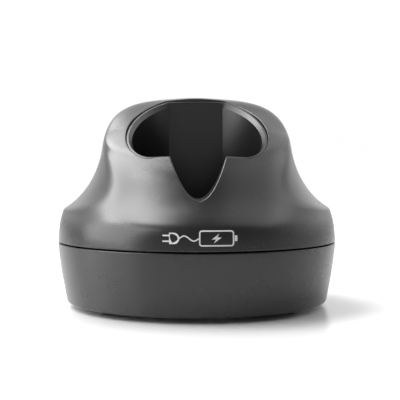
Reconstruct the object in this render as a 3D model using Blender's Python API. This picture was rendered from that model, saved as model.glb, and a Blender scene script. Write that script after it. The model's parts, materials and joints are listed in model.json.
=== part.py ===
"""Charging stand for a cordless hair clipper.

A round, weighted base carries a waisted tower with a slanted mouth. The clipper's handle drops
into the well behind the mouth and presses two sprung contacts on the well's floor. A board in the
base joins the contacts to a low-voltage socket at the back.

Frame: metres, +Z up, origin on the table under the middle of the base, the front towards -Y.
"""

import math

import bmesh
import bpy
import numpy as np
from mathutils import Matrix, Vector

MM = 0.001

# ---------------------------------------------------------------- housings
BASE_RADIUS = 48.0 * MM  # at the seam, the widest place
SEAM_HEIGHT = 22.1 * MM  # top of the base shell's outer wall
SEAM_GAP = 0.5 * MM  # the shadow line between the two housings
FOOT_STAND = 1.8 * MM  # the feet lift the base this far off the table
BASE_TAPER = 3.05 * MM  # the base wall leans in by this much from the seam to the bottom
BASE_EDGE = 0.9 * MM  # rounding where the base wall meets the bottom
BASE_FLOOR = 2.2 * MM
HOUSING_WALL = 2.2 * MM
GAP = 0.3 * MM  # between pieces that rest on each other
SLIDE_GAP = 0.25 * MM  # round a moving or a threaded shank
CLEAR = 1.0 * MM  # a cutter runs past the piece it cuts, and a pilot hole past its screw, by this much
LIP_THICKNESS = 1.2 * MM  # the ring on the base shell that steps up inside the tower
LIP_GAP = 1.0 * MM  # round the ring at the seam, because the tower's wall leans in above it
LIP_HEIGHT = 2.2 * MM  # above the seam
LIP_ROOT = 2.5 * MM  # below the seam
LIP_SLOPE = 2.0 * MM  # height over which the lip's root runs out to the wall

# ---------------------------------------------------------------- slanted top
CROWN_HEIGHT = 62.1 * MM  # the top, carried across the well, on the tower's axis
TOP_SLOPE = 0.516  # rise of the top towards the back
TOP_FALL = 1.7 / (1000 * MM)  # the top falls away sideways by this times x squared
SIDE_BAND = 6.7 * MM  # from the mouth's side out to the brow
SIDE_BROW_DROP = 1.2 * MM
BACK_BAND = 6.3 * MM
BACK_BROW_DROP = 3.3 * MM

# ---------------------------------------------------------------- mouth, well and notch
MOUTH_HALF_WIDTH = 24.5 * MM
MOUTH_FRONT = 20.0 * MM  # from the axis to the mouth's front edge
MOUTH_BACK = 20.0 * MM
MOUTH_WIDEST = -4.0 * MM  # y of the widest place
MOUTH_FRONT_FLAT = MOUTH_HALF_WIDTH - 9.2 * MM  # half the straight front edge
MOUTH_BACK_FLAT = 10.3 * MM
RIM_REVEAL = 0.6 * MM  # the liner's rim sits this far below the shell's
LINER_WALL = 1.8 * MM
RIM_LAND = 0.7 * MM
LEAD_IN_DEPTH = 1.3 * MM
CHANNEL_HALF_WIDTH = MOUTH_BACK_FLAT - 0.5 * MM
CHANNEL_DEPTH = 0.8 * MM
WELL_FLOOR_HEIGHT = 20.0 * MM
LINER_FLOOR = 2.2 * MM
LINER_BOTTOM = WELL_FLOOR_HEIGHT - LINER_FLOOR
NOTCH_HALF_WIDTH = 9.3 * MM
NOTCH_DEPTH = 14.2 * MM
TROUGH_WALL = 1.5 * MM
TROUGH_BACK = -MOUTH_FRONT + 3.0 * MM  # where the trough's own solid ends inside the liner's wall

# ---------------------------------------------------------------- waist and side scoops
WAIST_RADIUS = MOUTH_HALF_WIDTH + SIDE_BAND + 1.2 * MM
SCOOP_TOP = CROWN_HEIGHT - 2.1 * MM  # height where the waist stands upright
SCOOP_HEIGHT = SCOOP_TOP - SEAM_HEIGHT - 9.2 * MM  # from there down to the shoulder
SCOOP_OUT = BASE_RADIUS - WAIST_RADIUS + 7.3 * MM
CREASE_BLEND = 1.0 * MM
REAR_CORNER_OUT = 0.06  # the rear corners swell outwards by this share of their radius
REAR_CORNER_UP = 2.2 * MM  # and the brow is lifted by this much there

# ---------------------------------------------------------------- ballast
BALLAST_THICKNESS = 3.0 * MM
BALLAST_OUTER = BASE_RADIUS - 7.5 * MM  # clear of the base's leaning wall
BALLAST_WIDTH = 16.0 * MM
BALLAST_INNER = BALLAST_OUTER - BALLAST_WIDTH
BALLAST_MOUTH_DEG = 84.0  # opening towards the back, round the board
STAKE_RADIUS = 1.5 * MM
STAKE_HEAD_RADIUS = 2.6 * MM
STAKE_HEAD_HEIGHT = 1.0 * MM

# ---------------------------------------------------------------- feet and housing screws
FOOT_REACH = BALLAST_OUTER - BALLAST_WIDTH / 2 + 0.61 * MM  # from the axis, amid the ballast's width
FOOT_TURN_DEG = 38.25  # from +X
FOOT_X = FOOT_REACH * math.cos(math.radians(FOOT_TURN_DEG))
FOOT_Y = FOOT_REACH * math.sin(math.radians(FOOT_TURN_DEG))
FOOT_RADIUS = 6.25 * MM
FOOT_RECESS = 0.9 * MM
FOOT_CHAMFER = 0.5 * MM
FOOT_DIMPLE = 0.3 * MM
BOSS_RADIUS = 4.0 * MM
BOSS_HEIGHT = SEAM_HEIGHT - 1.1 * MM
HEAD_SEAT_HEIGHT = 12.0 * MM
HOUSING_SCREW_RADIUS = 1.5 * MM
HOUSING_HEAD_RADIUS = 2.75 * MM
HOUSING_HEAD_HEIGHT = 2.0 * MM
HOUSING_SCREW_LENGTH = 18.0 * MM
COLUMN_RADIUS = 3.6 * MM

# ---------------------------------------------------------------- board and what it carries
BOARD_FRONT = -8.0 * MM
BOARD_THICKNESS = 1.6 * MM
BOARD_BOTTOM = 7.0 * MM
POST_RADIUS = 3.0 * MM
SMALL_SCREW_RADIUS = 1.1 * MM
SMALL_HEAD_RADIUS = 2.1 * MM
SMALL_HEAD_HEIGHT = 1.5 * MM
CHIP_LENGTH = 4.4 * MM
CHIP_HEIGHT = 1.2 * MM
DIODE_HALF_WIDTH = 1.3 * MM
FUSE_HALF_WIDTH = 1.7 * MM

# ---------------------------------------------------------------- contacts
CONTACT_X = 5.5 * MM
CONTACT_Y = 3.0 * MM
CONTACT_STAND = 3.0 * MM  # tip above the well's floor
PIN_RADIUS = 1.5 * MM
PIN_FLANGE_RADIUS = PIN_RADIUS + 0.8 * MM
PIN_FLANGE_HEIGHT = 1.1 * MM
PIN_TAIL_RADIUS = PIN_RADIUS - 0.6 * MM
PIN_TAIL_LENGTH = 2.0 * MM
HOLDER_TOWER_HALF_WIDTH = CONTACT_X + PIN_FLANGE_RADIUS + 1.1 * MM
BOARD_SCREW_X = HOLDER_TOWER_HALF_WIDTH + SMALL_HEAD_RADIUS + 0.4 * MM
HOLDER_HALF_WIDTH = BOARD_SCREW_X + SMALL_HEAD_RADIUS + 0.7 * MM
BOARD_HALF_WIDTH = HOLDER_HALF_WIDTH + 0.8 * MM
HOLDER_HALF_DEPTH = 5.0 * MM
HOLDER_EAR_HEIGHT = 2.5 * MM
HOLDER_LIP = 1.5 * MM
SEAT_THICKNESS = 0.3 * MM
SPRING_WIRE = 0.45 * MM
SPRING_TURNS = 4.5

# ---------------------------------------------------------------- low-voltage socket
JACK_NOSE_RADIUS = 4.0 * MM
JACK_NOSE_ROOT = 2.0 * MM  # the nose starts this far inside the body
JACK_AXIS_RISE = JACK_NOSE_RADIUS + 1.4 * MM  # socket's axis above the bottom of its body
JACK_HALF_WIDTH = JACK_NOSE_RADIUS + 0.5 * MM
JACK_BODY_HEIGHT = JACK_AXIS_RISE + JACK_NOSE_RADIUS + 0.4 * MM
JACK_LENGTH = 13.4 * MM
JACK_BORE_RADIUS = JACK_NOSE_RADIUS - 0.8 * MM
JACK_BORE_DEPTH = 10.5 * MM
JACK_PIN_RADIUS = 1.0 * MM
JACK_PIN_RECESS = 1.3 * MM  # the pin's tip behind the nose
JACK_TAG_OUT = 1.4 * MM  # the pin's solder tag behind the body
JACK_TAG_THICKNESS = 0.7 * MM
JACK_TAG_HALF_WIDTH = 1.0 * MM
JACK_LEAF_THICKNESS = 0.35 * MM
JACK_LEAF_RECESS = 2.0 * MM  # the leaf's end behind the nose
SOCKET_RECESS_RADIUS = JACK_NOSE_RADIUS + 2.5 * MM
SOCKET_PAD_MARGIN = 2.0 * MM  # the pad is wider than the recess by this much on each side
SOCKET_PAD_ROOF = 0.6 * MM  # and higher by this much
SOCKET_FACE = BASE_RADIUS - 2.8 * MM  # y of the flat that a plug's shoulder meets
SOCKET_PAD = 3.0 * MM  # wall behind that flat

# ---------------------------------------------------------------- liner screws and label
EAR_X = MOUTH_HALF_WIDTH + 3.9 * MM
EAR_ROOT_X = MOUTH_HALF_WIDTH - 1.2 * MM  # inside the liner's wall
EAR_BEYOND_SCREW = 2.6 * MM
EAR_BOTTOM = WELL_FLOOR_HEIGHT + 7.0 * MM
EAR_THICKNESS = 2.4 * MM
EAR_HALF_DEPTH = 3.6 * MM
LINER_SCREW_LENGTH = 10.0 * MM
LINER_COLUMN_RADIUS = 2.8 * MM
LABEL_HALF_WIDTH = 16.0 * MM
LABEL_HALF_DEPTH = 9.0 * MM
LABEL_THICKNESS = 0.2 * MM
LABEL_RECESS = 0.6 * MM

SHELL_COLUMNS = 64
SHELL_STATIONS = 22
CAVITY_COLUMNS = 48
CAVITY_STATIONS = 14
ROUND = 20  # sides of a small round piece
BLEND_STEPS = 5

# Each flank runs from the seam to the brow: (share of the way in, share of the way up).
FRONT_FLANK = (
    (0, 0), (0.018, 0.117), (0.057, 0.226), (0.143, 0.322), (0.279, 0.422),
    (0.418, 0.528), (0.557, 0.659), (0.70, 0.792), (0.85, 0.902), (1, 1),
)  # fmt: skip
SIDE_FLANK = (
    (0, 0), (0.014, 0.104), (0.052, 0.211), (0.108, 0.305), (0.179, 0.425),
    (0.345, 0.586), (0.56, 0.738), (0.762, 0.861), (0.899, 0.947), (1, 1),
)  # fmt: skip
BACK_FLANK = (
    (0, 0), (0.046, 0.083), (0.157, 0.175), (0.323, 0.274), (0.488, 0.385),
    (0.627, 0.516), (0.737, 0.651), (0.82, 0.786), (0.894, 0.913), (1, 1),
)  # fmt: skip
CROWN = (0.80, 0.60, 0.30, 0)  # shares of the brow's radius where the top's own points lie
CORNER_SWELL = (0, 0, 0.02, 0.06, 0.15, 0.3, 0.5, 0.7, 0.88, 1)  # along the rear corners' flank

SHELL_FOOT = SEAM_HEIGHT + SEAM_GAP  # underside of the upper shell
BOARD_TOP = BOARD_BOTTOM + BOARD_THICKNESS
BASE_FLOOR_TOP = FOOT_STAND + BASE_FLOOR
JACK_BOTTOM = BOARD_TOP + GAP
JACK_AXIS = JACK_BOTTOM + JACK_AXIS_RISE
NOSE_FRONT = SOCKET_FACE - GAP
JACK_FACE = SOCKET_FACE - SOCKET_PAD - GAP
JACK_BACK = JACK_FACE - JACK_LENGTH
BOARD_BACK = JACK_FACE - 3.9 * MM
REAR_BOARD_SCREW_Y = JACK_BACK - 4.5 * MM
HOLDER_BOTTOM = BOARD_TOP + GAP
HOLDER_TOP = LINER_BOTTOM - GAP
PIN_FLANGE_TOP = HOLDER_TOP - HOLDER_LIP - GAP
FOOT_PLACES = {
    "front_left": (-FOOT_X, -FOOT_Y),
    "front_right": (FOOT_X, -FOOT_Y),
    "rear_left": (-FOOT_X, FOOT_Y),
    "rear_right": (FOOT_X, FOOT_Y),
}
SIDES = {"left": -1, "right": 1}


# ================================================================ scene, materials and booleans
def clear_scene():
    for thing in list(bpy.data.objects):
        bpy.data.objects.remove(thing, do_unlink=True)


def plain_material(name, colour, roughness, metallic=0.0):
    finish = bpy.data.materials.new(name)
    finish.use_nodes = True
    shader = finish.node_tree.nodes["Principled BSDF"]
    shader.inputs["Base Color"].default_value = (*colour, 1)
    shader.inputs["Roughness"].default_value = roughness
    shader.inputs["Metallic"].default_value = metallic
    return finish


def object_from(name, mesh_maker, finish=None):
    """A new object whose bmesh is filled by mesh_maker."""
    mesh = bpy.data.meshes.new(name)
    work = bmesh.new()
    mesh_maker(work)
    bmesh.ops.recalc_face_normals(work, faces=work.faces)
    work.to_mesh(mesh)
    work.free()
    thing = bpy.data.objects.new(name, mesh)
    bpy.context.scene.collection.objects.link(thing)
    if finish:
        mesh.materials.append(finish)
        mesh.shade_smooth()
        mesh.set_sharp_from_angle(angle=math.radians(35))
    return thing


def helper(thing):
    """Marks a cutter: it shapes other pieces and isn't one itself."""
    thing.hide_render = True
    thing.display_type = "WIRE"
    return thing


def shaped_by(target, other, operation):
    step = target.modifiers.new(f"{operation.lower()} {other.name}", "BOOLEAN")
    step.operation = operation
    step.solver = "EXACT"
    step.object = helper(other)
    return target


def cut(target, *cutters):
    for cutter in cutters:
        shaped_by(target, cutter, "DIFFERENCE")
    return target


def join(target, *others):
    for other in others:
        shaped_by(target, other, "UNION")
    return target


def trim(target, limit):
    return shaped_by(target, limit, "INTERSECT")


# ================================================================ basic solids
def cylinder(name, radius, start, end, finish=None, segments=ROUND, end_radius=None):
    """A round bar between two points; end_radius makes it a cone."""
    start, end = Vector(start), Vector(end)
    along = end - start
    turn = along.to_track_quat("Z", "Y").to_matrix().to_4x4()
    place = Matrix.Translation((start + end) / 2) @ turn

    def make(work):
        bmesh.ops.create_cone(
            work,
            cap_ends=True,
            segments=segments,
            radius1=radius,
            radius2=radius if end_radius is None else end_radius,
            depth=along.length,
            matrix=place,
        )

    return object_from(name, make, finish)


def upright(name, radius, x, y, bottom, top, finish=None, segments=ROUND, end_radius=None):
    return cylinder(name, radius, (x, y, bottom), (x, y, top), finish, segments, end_radius)


def block(name, low, high, finish=None):
    """A box between its lowest and highest corners."""
    low, high = Vector(low), Vector(high)
    size = Matrix.Diagonal((*(high - low), 1))

    def make(work):
        bmesh.ops.create_cube(work, size=1, matrix=Matrix.Translation((low + high) / 2) @ size)

    return object_from(name, make, finish)


def turned(name, profile, finish=None, segments=ROUND, x=0.0, y=0.0):
    """A closed (radius, height) outline that starts and ends on the axis, spun round a vertical axis."""

    def make(work):
        points = [work.verts.new((x + radius, y, height)) for radius, height in profile]
        edges = [work.edges.new(pair) for pair in zip(points, points[1:])]
        bmesh.ops.spin(
            work,
            geom=points + edges,
            cent=(x, y, 0),
            axis=(0, 0, 1),
            angle=math.tau,
            steps=segments,
            use_merge=True,
        )
        bmesh.ops.remove_doubles(work, verts=work.verts, dist=0.001 * MM)

    return object_from(name, make, finish)


def prism(name, outline, lift, finish=None):
    """A flat outline of 3-D points, swept along the vector lift."""

    def make(work):
        face = work.faces.new([work.verts.new(point) for point in outline])
        swept = bmesh.ops.extrude_face_region(work, geom=[face])
        moved = [item for item in swept["geom"] if isinstance(item, bmesh.types.BMVert)]
        bmesh.ops.translate(work, vec=lift, verts=moved)

    return object_from(name, make, finish)


def lofted(name, rings, pole=None, finish=None):
    """Rings of equal length joined by quads, the first one capped, the last one capped or run to a pole."""

    def make(work):
        rows = [[work.verts.new(point) for point in ring] for ring in rings]
        count = len(rows[0])
        for lower, upper in zip(rows, rows[1:]):
            for i in range(count):
                j = (i + 1) % count
                work.faces.new((lower[i], lower[j], upper[j], upper[i]))
        work.faces.new(rows[0][::-1])
        if pole is None:
            work.faces.new(rows[-1])
        else:
            tip = work.verts.new(pole)
            for i in range(count):
                work.faces.new((rows[-1][i], rows[-1][(i + 1) % count], tip))
        bmesh.ops.triangulate(work, faces=work.faces)

    return object_from(name, make, finish)


# ================================================================ the tower's skin
def curve_through(points, shares):
    """Places on the natural cubic curve that passes through the points, evenly spaced in share."""
    last = len(points) - 1
    system = 4 * np.eye(last + 1) + np.eye(last + 1, k=1) + np.eye(last + 1, k=-1)
    system[0, 1] = system[last, last - 1] = 0
    turn = np.zeros(points.shape)
    turn[1:-1] = 6 * (points[:-2] - 2 * points[1:-1] + points[2:])
    bend = np.linalg.solve(system, turn)
    place = np.clip(shares, 0, 1) * last
    i = np.minimum(place.astype(int), last - 1)
    ahead = (place - i)[:, None]
    back = 1 - ahead
    straight = back * points[i] + ahead * points[i + 1]
    return straight + ((back**3 - back) * bend[i] + (ahead**3 - ahead) * bend[i + 1]) / 6


def top_height(x, y):
    return CROWN_HEIGHT + TOP_SLOPE * y - TOP_FALL * x * x


def profile_points(flank, across, along, brow_drop):
    """(radius, height) points up the flank and over the top; across and along place the brow."""
    brow_radius = math.hypot(across, along)
    brow_height = top_height(across, along) - brow_drop
    climb = [
        (
            BASE_RADIUS + (brow_radius - BASE_RADIUS) * inwards,
            SHELL_FOOT + (brow_height - SHELL_FOOT) * upwards,
        )
        for inwards, upwards in flank
    ]
    top = [(brow_radius * share, top_height(across * share, along * share)) for share in CROWN]
    return np.array(climb + top)


def profiles():
    """Points of the front, side and back profiles."""
    return (
        profile_points(FRONT_FLANK, 0, -MOUTH_FRONT, 0),
        profile_points(SIDE_FLANK, MOUTH_HALF_WIDTH + SIDE_BAND, 0, SIDE_BROW_DROP),
        profile_points(BACK_FLANK, 0, MOUTH_BACK + BACK_BAND, BACK_BROW_DROP),
    )


def rear_corner(angles, shares):
    """(share of the radius to add, lift) that squares the tower's rear corners up to the mouth's."""
    flank = [(REAR_CORNER_OUT * swell, REAR_CORNER_UP * swell) for swell in CORNER_SWELL]
    swell = curve_through(np.array(flank + [(REAR_CORNER_OUT, 0)] * len(CROWN)), shares)
    return swell.T * np.where(np.sin(angles) > 0, np.sin(2 * angles) ** 2, 0)


def inset_profile(points, shares, inset):
    """Places at each share on a profile, moved inwards by inset along its normal."""
    step = 1e-4
    here = curve_through(points, shares)
    ahead = curve_through(points, np.minimum(shares + step, 1))
    behind = curve_through(points, np.maximum(shares - step, 0))
    along = ahead - behind
    along /= np.linalg.norm(along, axis=1, keepdims=True)
    moved = here + inset * np.stack([-along[:, 1], along[:, 0]], axis=1)
    moved[:, 0] = np.maximum(moved[:, 0], 0)
    return moved


def soft_min(a, b, blend):
    share = np.clip(0.5 + 0.5 * (b - a) / blend, 0, 1)
    return b + (a - b) * share - blend * share * (1 - share)


def waist(height, inset):
    """Radius of the scooped waist: a quarter ellipse that flares out to the shoulder."""
    drop = np.clip((SCOOP_TOP - height) / SCOOP_HEIGHT, 0, 0.9995)
    root = np.sqrt(1 - drop * drop)
    steepness = SCOOP_OUT * drop / (SCOOP_HEIGHT * root)
    radius = WAIST_RADIUS + SCOOP_OUT * (1 - root) - inset * np.sqrt(1 + steepness**2)
    return np.where(height < SCOOP_TOP - SCOOP_HEIGHT, 2 * BASE_RADIUS, radius)


def skin(angles, shares, inset=0.0):
    """Points of the tower's skin. Angle 0 is +X and 90 degrees the back; share 0 is the seam, 1 the axis."""
    front, side, back = (inset_profile(points, shares, inset) for points in profiles())
    across, along = np.cos(angles), np.sin(angles)

    def blended(at_side, at_front, at_back):
        tilt, mean = (at_back - at_front) / 2, (at_back + at_front) / 2
        return at_side * across**2 + tilt * along + mean * along**2

    x = side[:, 0] * across
    y = blended(0, -front[:, 0], back[:, 0])
    out, up = rear_corner(angles, shares)
    z = blended(side[:, 1], front[:, 1], back[:, 1]) + up
    x, y = x * (1 + out), y * (1 + out)
    radius = np.hypot(x, y)
    pinched = soft_min(radius, waist(z, inset), CREASE_BLEND)
    ratio = pinched / np.maximum(radius, 1e-9)
    return np.stack([x * ratio, y * ratio, z], axis=-1)


def tower_solid(name, inset, columns, stations, below=0.0, finish=None):
    """The closed tower inside its skin; below carries its foot on down past the seam."""
    angles = np.arange(columns) * math.tau / columns
    rings = [
        skin(angles, np.full(columns, share), inset)
        for share in np.linspace(0, 0.97, stations)
    ]
    if below:
        rings.insert(0, rings[0] - np.array([0, 0, below]))
    pole = skin(np.zeros(1), np.ones(1), inset)[0]
    return lofted(name, rings, pole, finish)


# ================================================================ outlines
def mouth_outline(grow=0.0, steps=8):
    """Plan of the mouth: straight at the front and back, rounded front corners, and sides that run
    to the back as one elliptic sweep. grow moves the whole outline outwards."""
    half = MOUTH_HALF_WIDTH + grow
    front_run = MOUTH_WIDEST + MOUTH_FRONT + grow
    front_bulge = MOUTH_HALF_WIDTH - MOUTH_FRONT_FLAT + grow
    back_run = MOUTH_BACK - MOUTH_WIDEST
    sweep = back_run / math.sqrt(1 - (MOUTH_BACK_FLAT / MOUTH_HALF_WIDTH) ** 2) + grow
    last = math.asin((back_run + grow) / sweep)
    rear = [
        (half * math.cos(turn), MOUTH_WIDEST + sweep * math.sin(turn))
        for turn in np.linspace(0, last, steps + 1)
    ]
    front = [
        (MOUTH_FRONT_FLAT + front_bulge * math.cos(turn), MOUTH_WIDEST - front_run * math.sin(turn))
        for turn in np.linspace(0, math.pi / 2, steps + 1)
    ]
    right = front[:0:-1] + rear
    return right + [(-x, y) for x, y in right[::-1]]


def notch_outline(grow=0.0, steps=9):
    """Front view of the notch: a parabola below the mouth's front edge, upright above it."""
    rim = top_height(0, -MOUTH_FRONT)
    tip = rim - NOTCH_DEPTH
    above = rim + NOTCH_DEPTH
    bow = [
        (NOTCH_HALF_WIDTH * share, tip + NOTCH_DEPTH * share * share)
        for share in np.linspace(-1, 1, 2 * steps + 1)
    ]
    grown = []
    for x, z in bow:
        slope = 2 * NOTCH_DEPTH * x / NOTCH_HALF_WIDTH**2
        length = math.hypot(slope, 1)
        grown.append((x + grow * slope / length, z - grow / length))
    return [(grown[0][0], above), *grown, (grown[-1][0], above)]


def notch_prism(name, grow, front, back):
    outline = [(x, front, z) for x, z in notch_outline(grow)]
    return prism(name, outline, (0, back - front, 0))


def well_prism(name, grow, bottom, top):
    outline = [(x, y, bottom) for x, y in mouth_outline(grow)]
    return prism(name, outline, (0, 0, top - bottom))


# ================================================================ housings
def make_upper_shell(finish):
    """The tower's outer housing, open below, with four screw columns and two liner columns."""
    shell = tower_solid("upper_shell", 0, SHELL_COLUMNS, SHELL_STATIONS, finish=finish)
    cavity = tower_solid("cavity cutter", HOUSING_WALL, CAVITY_COLUMNS, CAVITY_STATIONS, below=CLEAR)
    reach = CROWN_HEIGHT
    screw_top = HEAD_SEAT_HEIGHT - GAP + HOUSING_SCREW_LENGTH + CLEAR
    for place, (x, y) in FOOT_PLACES.items():
        bottom = BOSS_HEIGHT + GAP
        cut(cavity, upright(f"{place} column", COLUMN_RADIUS, x, y, bottom, reach))
    for side, sign in SIDES.items():
        bottom = EAR_BOTTOM + EAR_THICKNESS + GAP
        cut(cavity, upright(f"{side} liner column", LINER_COLUMN_RADIUS, sign * EAR_X, 0, bottom, reach))
    cut(shell, cavity, well_prism("mouth cutter", 0, WELL_FLOOR_HEIGHT, 2 * reach))
    cut(shell, notch_prism("notch cutter", 0, -2 * BASE_RADIUS, -MOUTH_FRONT / 2))
    for place, (x, y) in FOOT_PLACES.items():
        radius = HOUSING_SCREW_RADIUS + SLIDE_GAP
        cut(shell, upright(f"{place} pilot", radius, x, y, 0, screw_top, segments=12))
    for side, sign in SIDES.items():
        top = EAR_BOTTOM + LINER_SCREW_LENGTH + CLEAR
        radius = SMALL_SCREW_RADIUS + SLIDE_GAP
        cut(shell, upright(f"{side} liner pilot", radius, sign * EAR_X, 0, 0, top, segments=12))
    return shell


def lead_in_cutter():
    """The funnel round the well's mouth, following the slanted rim."""
    wide = mouth_outline(-GAP - RIM_LAND)
    narrow = mouth_outline(-GAP - LINER_WALL)
    above = 2 * CLEAR
    spread = (LINER_WALL - RIM_LAND) / LEAD_IN_DEPTH
    rings = [
        [(x, y, top_height(x, y) - RIM_REVEAL - LEAD_IN_DEPTH) for x, y in narrow],
        [(x, y, top_height(x, y) - RIM_REVEAL) for x, y in wide],
        [(x, y, top_height(x, y) + above) for x, y in mouth_outline(above * spread)],
    ]
    return lofted("lead-in cutter", rings)


def make_liner(finish):
    """The well that holds the clipper: a D-shaped cup with a trough behind the notch and two ears."""
    high = 2 * CROWN_HEIGHT
    outline = [(x, y, LINER_BOTTOM) for x, y in mouth_outline(-GAP)]
    liner = prism("well_liner", outline, (0, 0, high - LINER_BOTTOM), finish)
    below = SHELL_FOOT
    trim(liner, tower_solid("rim limit", RIM_REVEAL, SHELL_COLUMNS, SHELL_STATIONS, below=below))
    trough = notch_prism("trough", TROUGH_WALL, -BASE_RADIUS, TROUGH_BACK)
    limit = tower_solid(
        "trough limit", HOUSING_WALL + GAP, CAVITY_COLUMNS, CAVITY_STATIONS, below=below
    )
    join(liner, trim(trough, limit))
    for side, sign in SIDES.items():
        ends = sorted((sign * EAR_ROOT_X, sign * (EAR_X + EAR_BEYOND_SCREW)))
        ear = block(
            f"{side} ear",
            (ends[0], -EAR_HALF_DEPTH, EAR_BOTTOM),
            (ends[1], EAR_HALF_DEPTH, EAR_BOTTOM + EAR_THICKNESS),
        )
        join(liner, ear)
    cut(liner, notch_prism("trough cutter", 0, -2 * BASE_RADIUS, -MOUTH_FRONT / 2))
    cut(liner, well_prism("well cutter", -GAP - LINER_WALL, WELL_FLOOR_HEIGHT, high))
    channel_back = MOUTH_BACK - GAP - LINER_WALL + CHANNEL_DEPTH
    channel = block(
        "channel cutter",
        (-CHANNEL_HALF_WIDTH, 0, WELL_FLOOR_HEIGHT),
        (CHANNEL_HALF_WIDTH, channel_back, high),
    )
    cut(liner, channel, lead_in_cutter())
    for side, sign in SIDES.items():
        radius = PIN_RADIUS + SLIDE_GAP
        cut(liner, upright(f"{side} contact hole", radius, sign * CONTACT_X, CONTACT_Y, 0, high / 4))
        radius = SMALL_SCREW_RADIUS + SLIDE_GAP
        top = EAR_BOTTOM + 2 * EAR_THICKNESS
        cut(liner, upright(f"{side} ear hole", radius, sign * EAR_X, 0, 0, top, segments=12))
    return liner


def base_wall_radius(height):
    """Outer radius of the base: upright at the seam, leaning in towards the bottom."""
    drop = (SEAM_HEIGHT - height) / (SEAM_HEIGHT - FOOT_STAND)
    return BASE_RADIUS - BASE_TAPER * drop**1.4


def base_wall():
    """The base's outer wall, from its rounded bottom edge up to the seam."""
    height = FOOT_STAND + BASE_EDGE
    radius = base_wall_radius(height)
    edge = [
        (radius - BASE_EDGE * (1 - math.cos(turn)), height - BASE_EDGE * math.sin(turn))
        for turn in np.linspace(math.pi / 2, 0, 4)
    ]
    return edge + [(base_wall_radius(h), h) for h in np.linspace(height, SEAM_HEIGHT, 6)[1:]]


def base_profile():
    """Half section of the base shell, from the axis along the bottom, up the wall, and back inside."""
    lip_outer = BASE_RADIUS - HOUSING_WALL - LIP_GAP
    lip_inner = lip_outer - LIP_THICKNESS
    lip_top = SEAM_HEIGHT + LIP_HEIGHT
    lip_bottom = SEAM_HEIGHT - LIP_ROOT
    lip = [
        (lip_outer, SEAM_HEIGHT), (lip_outer, lip_top), (lip_inner, lip_top), (lip_inner, lip_bottom),
    ]  # fmt: skip
    heights = np.linspace(lip_bottom - LIP_SLOPE, BASE_FLOOR_TOP, 4)
    inside = [(base_wall_radius(h) - HOUSING_WALL, h) for h in heights]
    return [(0, FOOT_STAND), *base_wall(), *lip, *inside, (0, BASE_FLOOR_TOP)]


def board_screw_places():
    return {
        "front_left": (-BOARD_SCREW_X, CONTACT_Y),
        "front_right": (BOARD_SCREW_X, CONTACT_Y),
        "rear_left": (-BOARD_SCREW_X, REAR_BOARD_SCREW_Y),
        "rear_right": (BOARD_SCREW_X, REAR_BOARD_SCREW_Y),
    }


def stake_places():
    middle = (BALLAST_OUTER + BALLAST_INNER) / 2
    return {side: (sign * middle, 0.0) for side, sign in SIDES.items()}


def make_base_shell(finish):
    """The base housing: a turned tray with bosses, board posts, ballast stakes and the socket's window."""
    shell = turned("base_shell", base_profile(), finish, segments=SHELL_COLUMNS)
    sunk = BASE_FLOOR_TOP - BASE_FLOOR / 2
    for place, (x, y) in FOOT_PLACES.items():
        join(shell, upright(f"{place} boss", BOSS_RADIUS, x, y, sunk, BOSS_HEIGHT))
    for place, (x, y) in board_screw_places().items():
        join(shell, upright(f"{place} post", POST_RADIUS, x, y, sunk, BOARD_BOTTOM - GAP, segments=16))
    ballast_top = BASE_FLOOR_TOP + GAP + BALLAST_THICKNESS
    for side, (x, y) in stake_places().items():
        head = ballast_top + GAP
        outline = [
            (0, sunk), (STAKE_RADIUS, sunk), (STAKE_RADIUS, head), (STAKE_HEAD_RADIUS, head),
            (STAKE_HEAD_RADIUS * 0.7, head + STAKE_HEAD_HEIGHT), (0, head + STAKE_HEAD_HEIGHT),
        ]  # fmt: skip
        join(shell, turned(f"{side} stake", outline, segments=16, x=x, y=y))
    half_pad = SOCKET_RECESS_RADIUS + SOCKET_PAD_MARGIN
    pad = block(
        "socket pad",
        (-half_pad, SOCKET_FACE - SOCKET_PAD, sunk),
        (half_pad, SOCKET_FACE + BASE_FLOOR, JACK_AXIS + SOCKET_RECESS_RADIUS + SOCKET_PAD_ROOF),
    )
    inside_wall = [(radius - BASE_EDGE / 2, height) for radius, height in base_wall()]
    limit = turned("pad limit", [(0, FOOT_STAND), *inside_wall, (0, SEAM_HEIGHT)], segments=SHELL_COLUMNS)
    join(shell, trim(pad, limit))
    for place, (x, y) in FOOT_PLACES.items():
        recess = upright(
            f"{place} foot recess", FOOT_RADIUS + GAP, x, y, 0, FOOT_STAND + FOOT_RECESS, segments=32
        )
        counterbore = upright(
            f"{place} counterbore", HOUSING_HEAD_RADIUS + SLIDE_GAP, x, y, 0, HEAD_SEAT_HEIGHT
        )
        hole = upright(
            f"{place} screw hole", HOUSING_SCREW_RADIUS + SLIDE_GAP, x, y, 0, 2 * BOSS_HEIGHT, segments=12
        )
        cut(shell, recess, counterbore, hole)
    for place, (x, y) in board_screw_places().items():
        radius = SMALL_SCREW_RADIUS + SLIDE_GAP
        bottom = FOOT_STAND + BASE_FLOOR / 2
        cut(shell, upright(f"{place} post hole", radius, x, y, bottom, BOARD_TOP, segments=12))
    cut(shell, along_y("socket recess", SOCKET_RECESS_RADIUS, SOCKET_FACE, 2 * BASE_RADIUS, segments=40))
    cut(shell, along_y("socket window", JACK_NOSE_RADIUS + GAP, JACK_FACE - CLEAR, 2 * BASE_RADIUS))
    label_recess = block(
        "label recess",
        (-LABEL_HALF_WIDTH - GAP, -LABEL_HALF_DEPTH - GAP, 0),
        (LABEL_HALF_WIDTH + GAP, LABEL_HALF_DEPTH + GAP, FOOT_STAND + LABEL_RECESS),
    )
    return cut(shell, label_recess)


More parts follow.
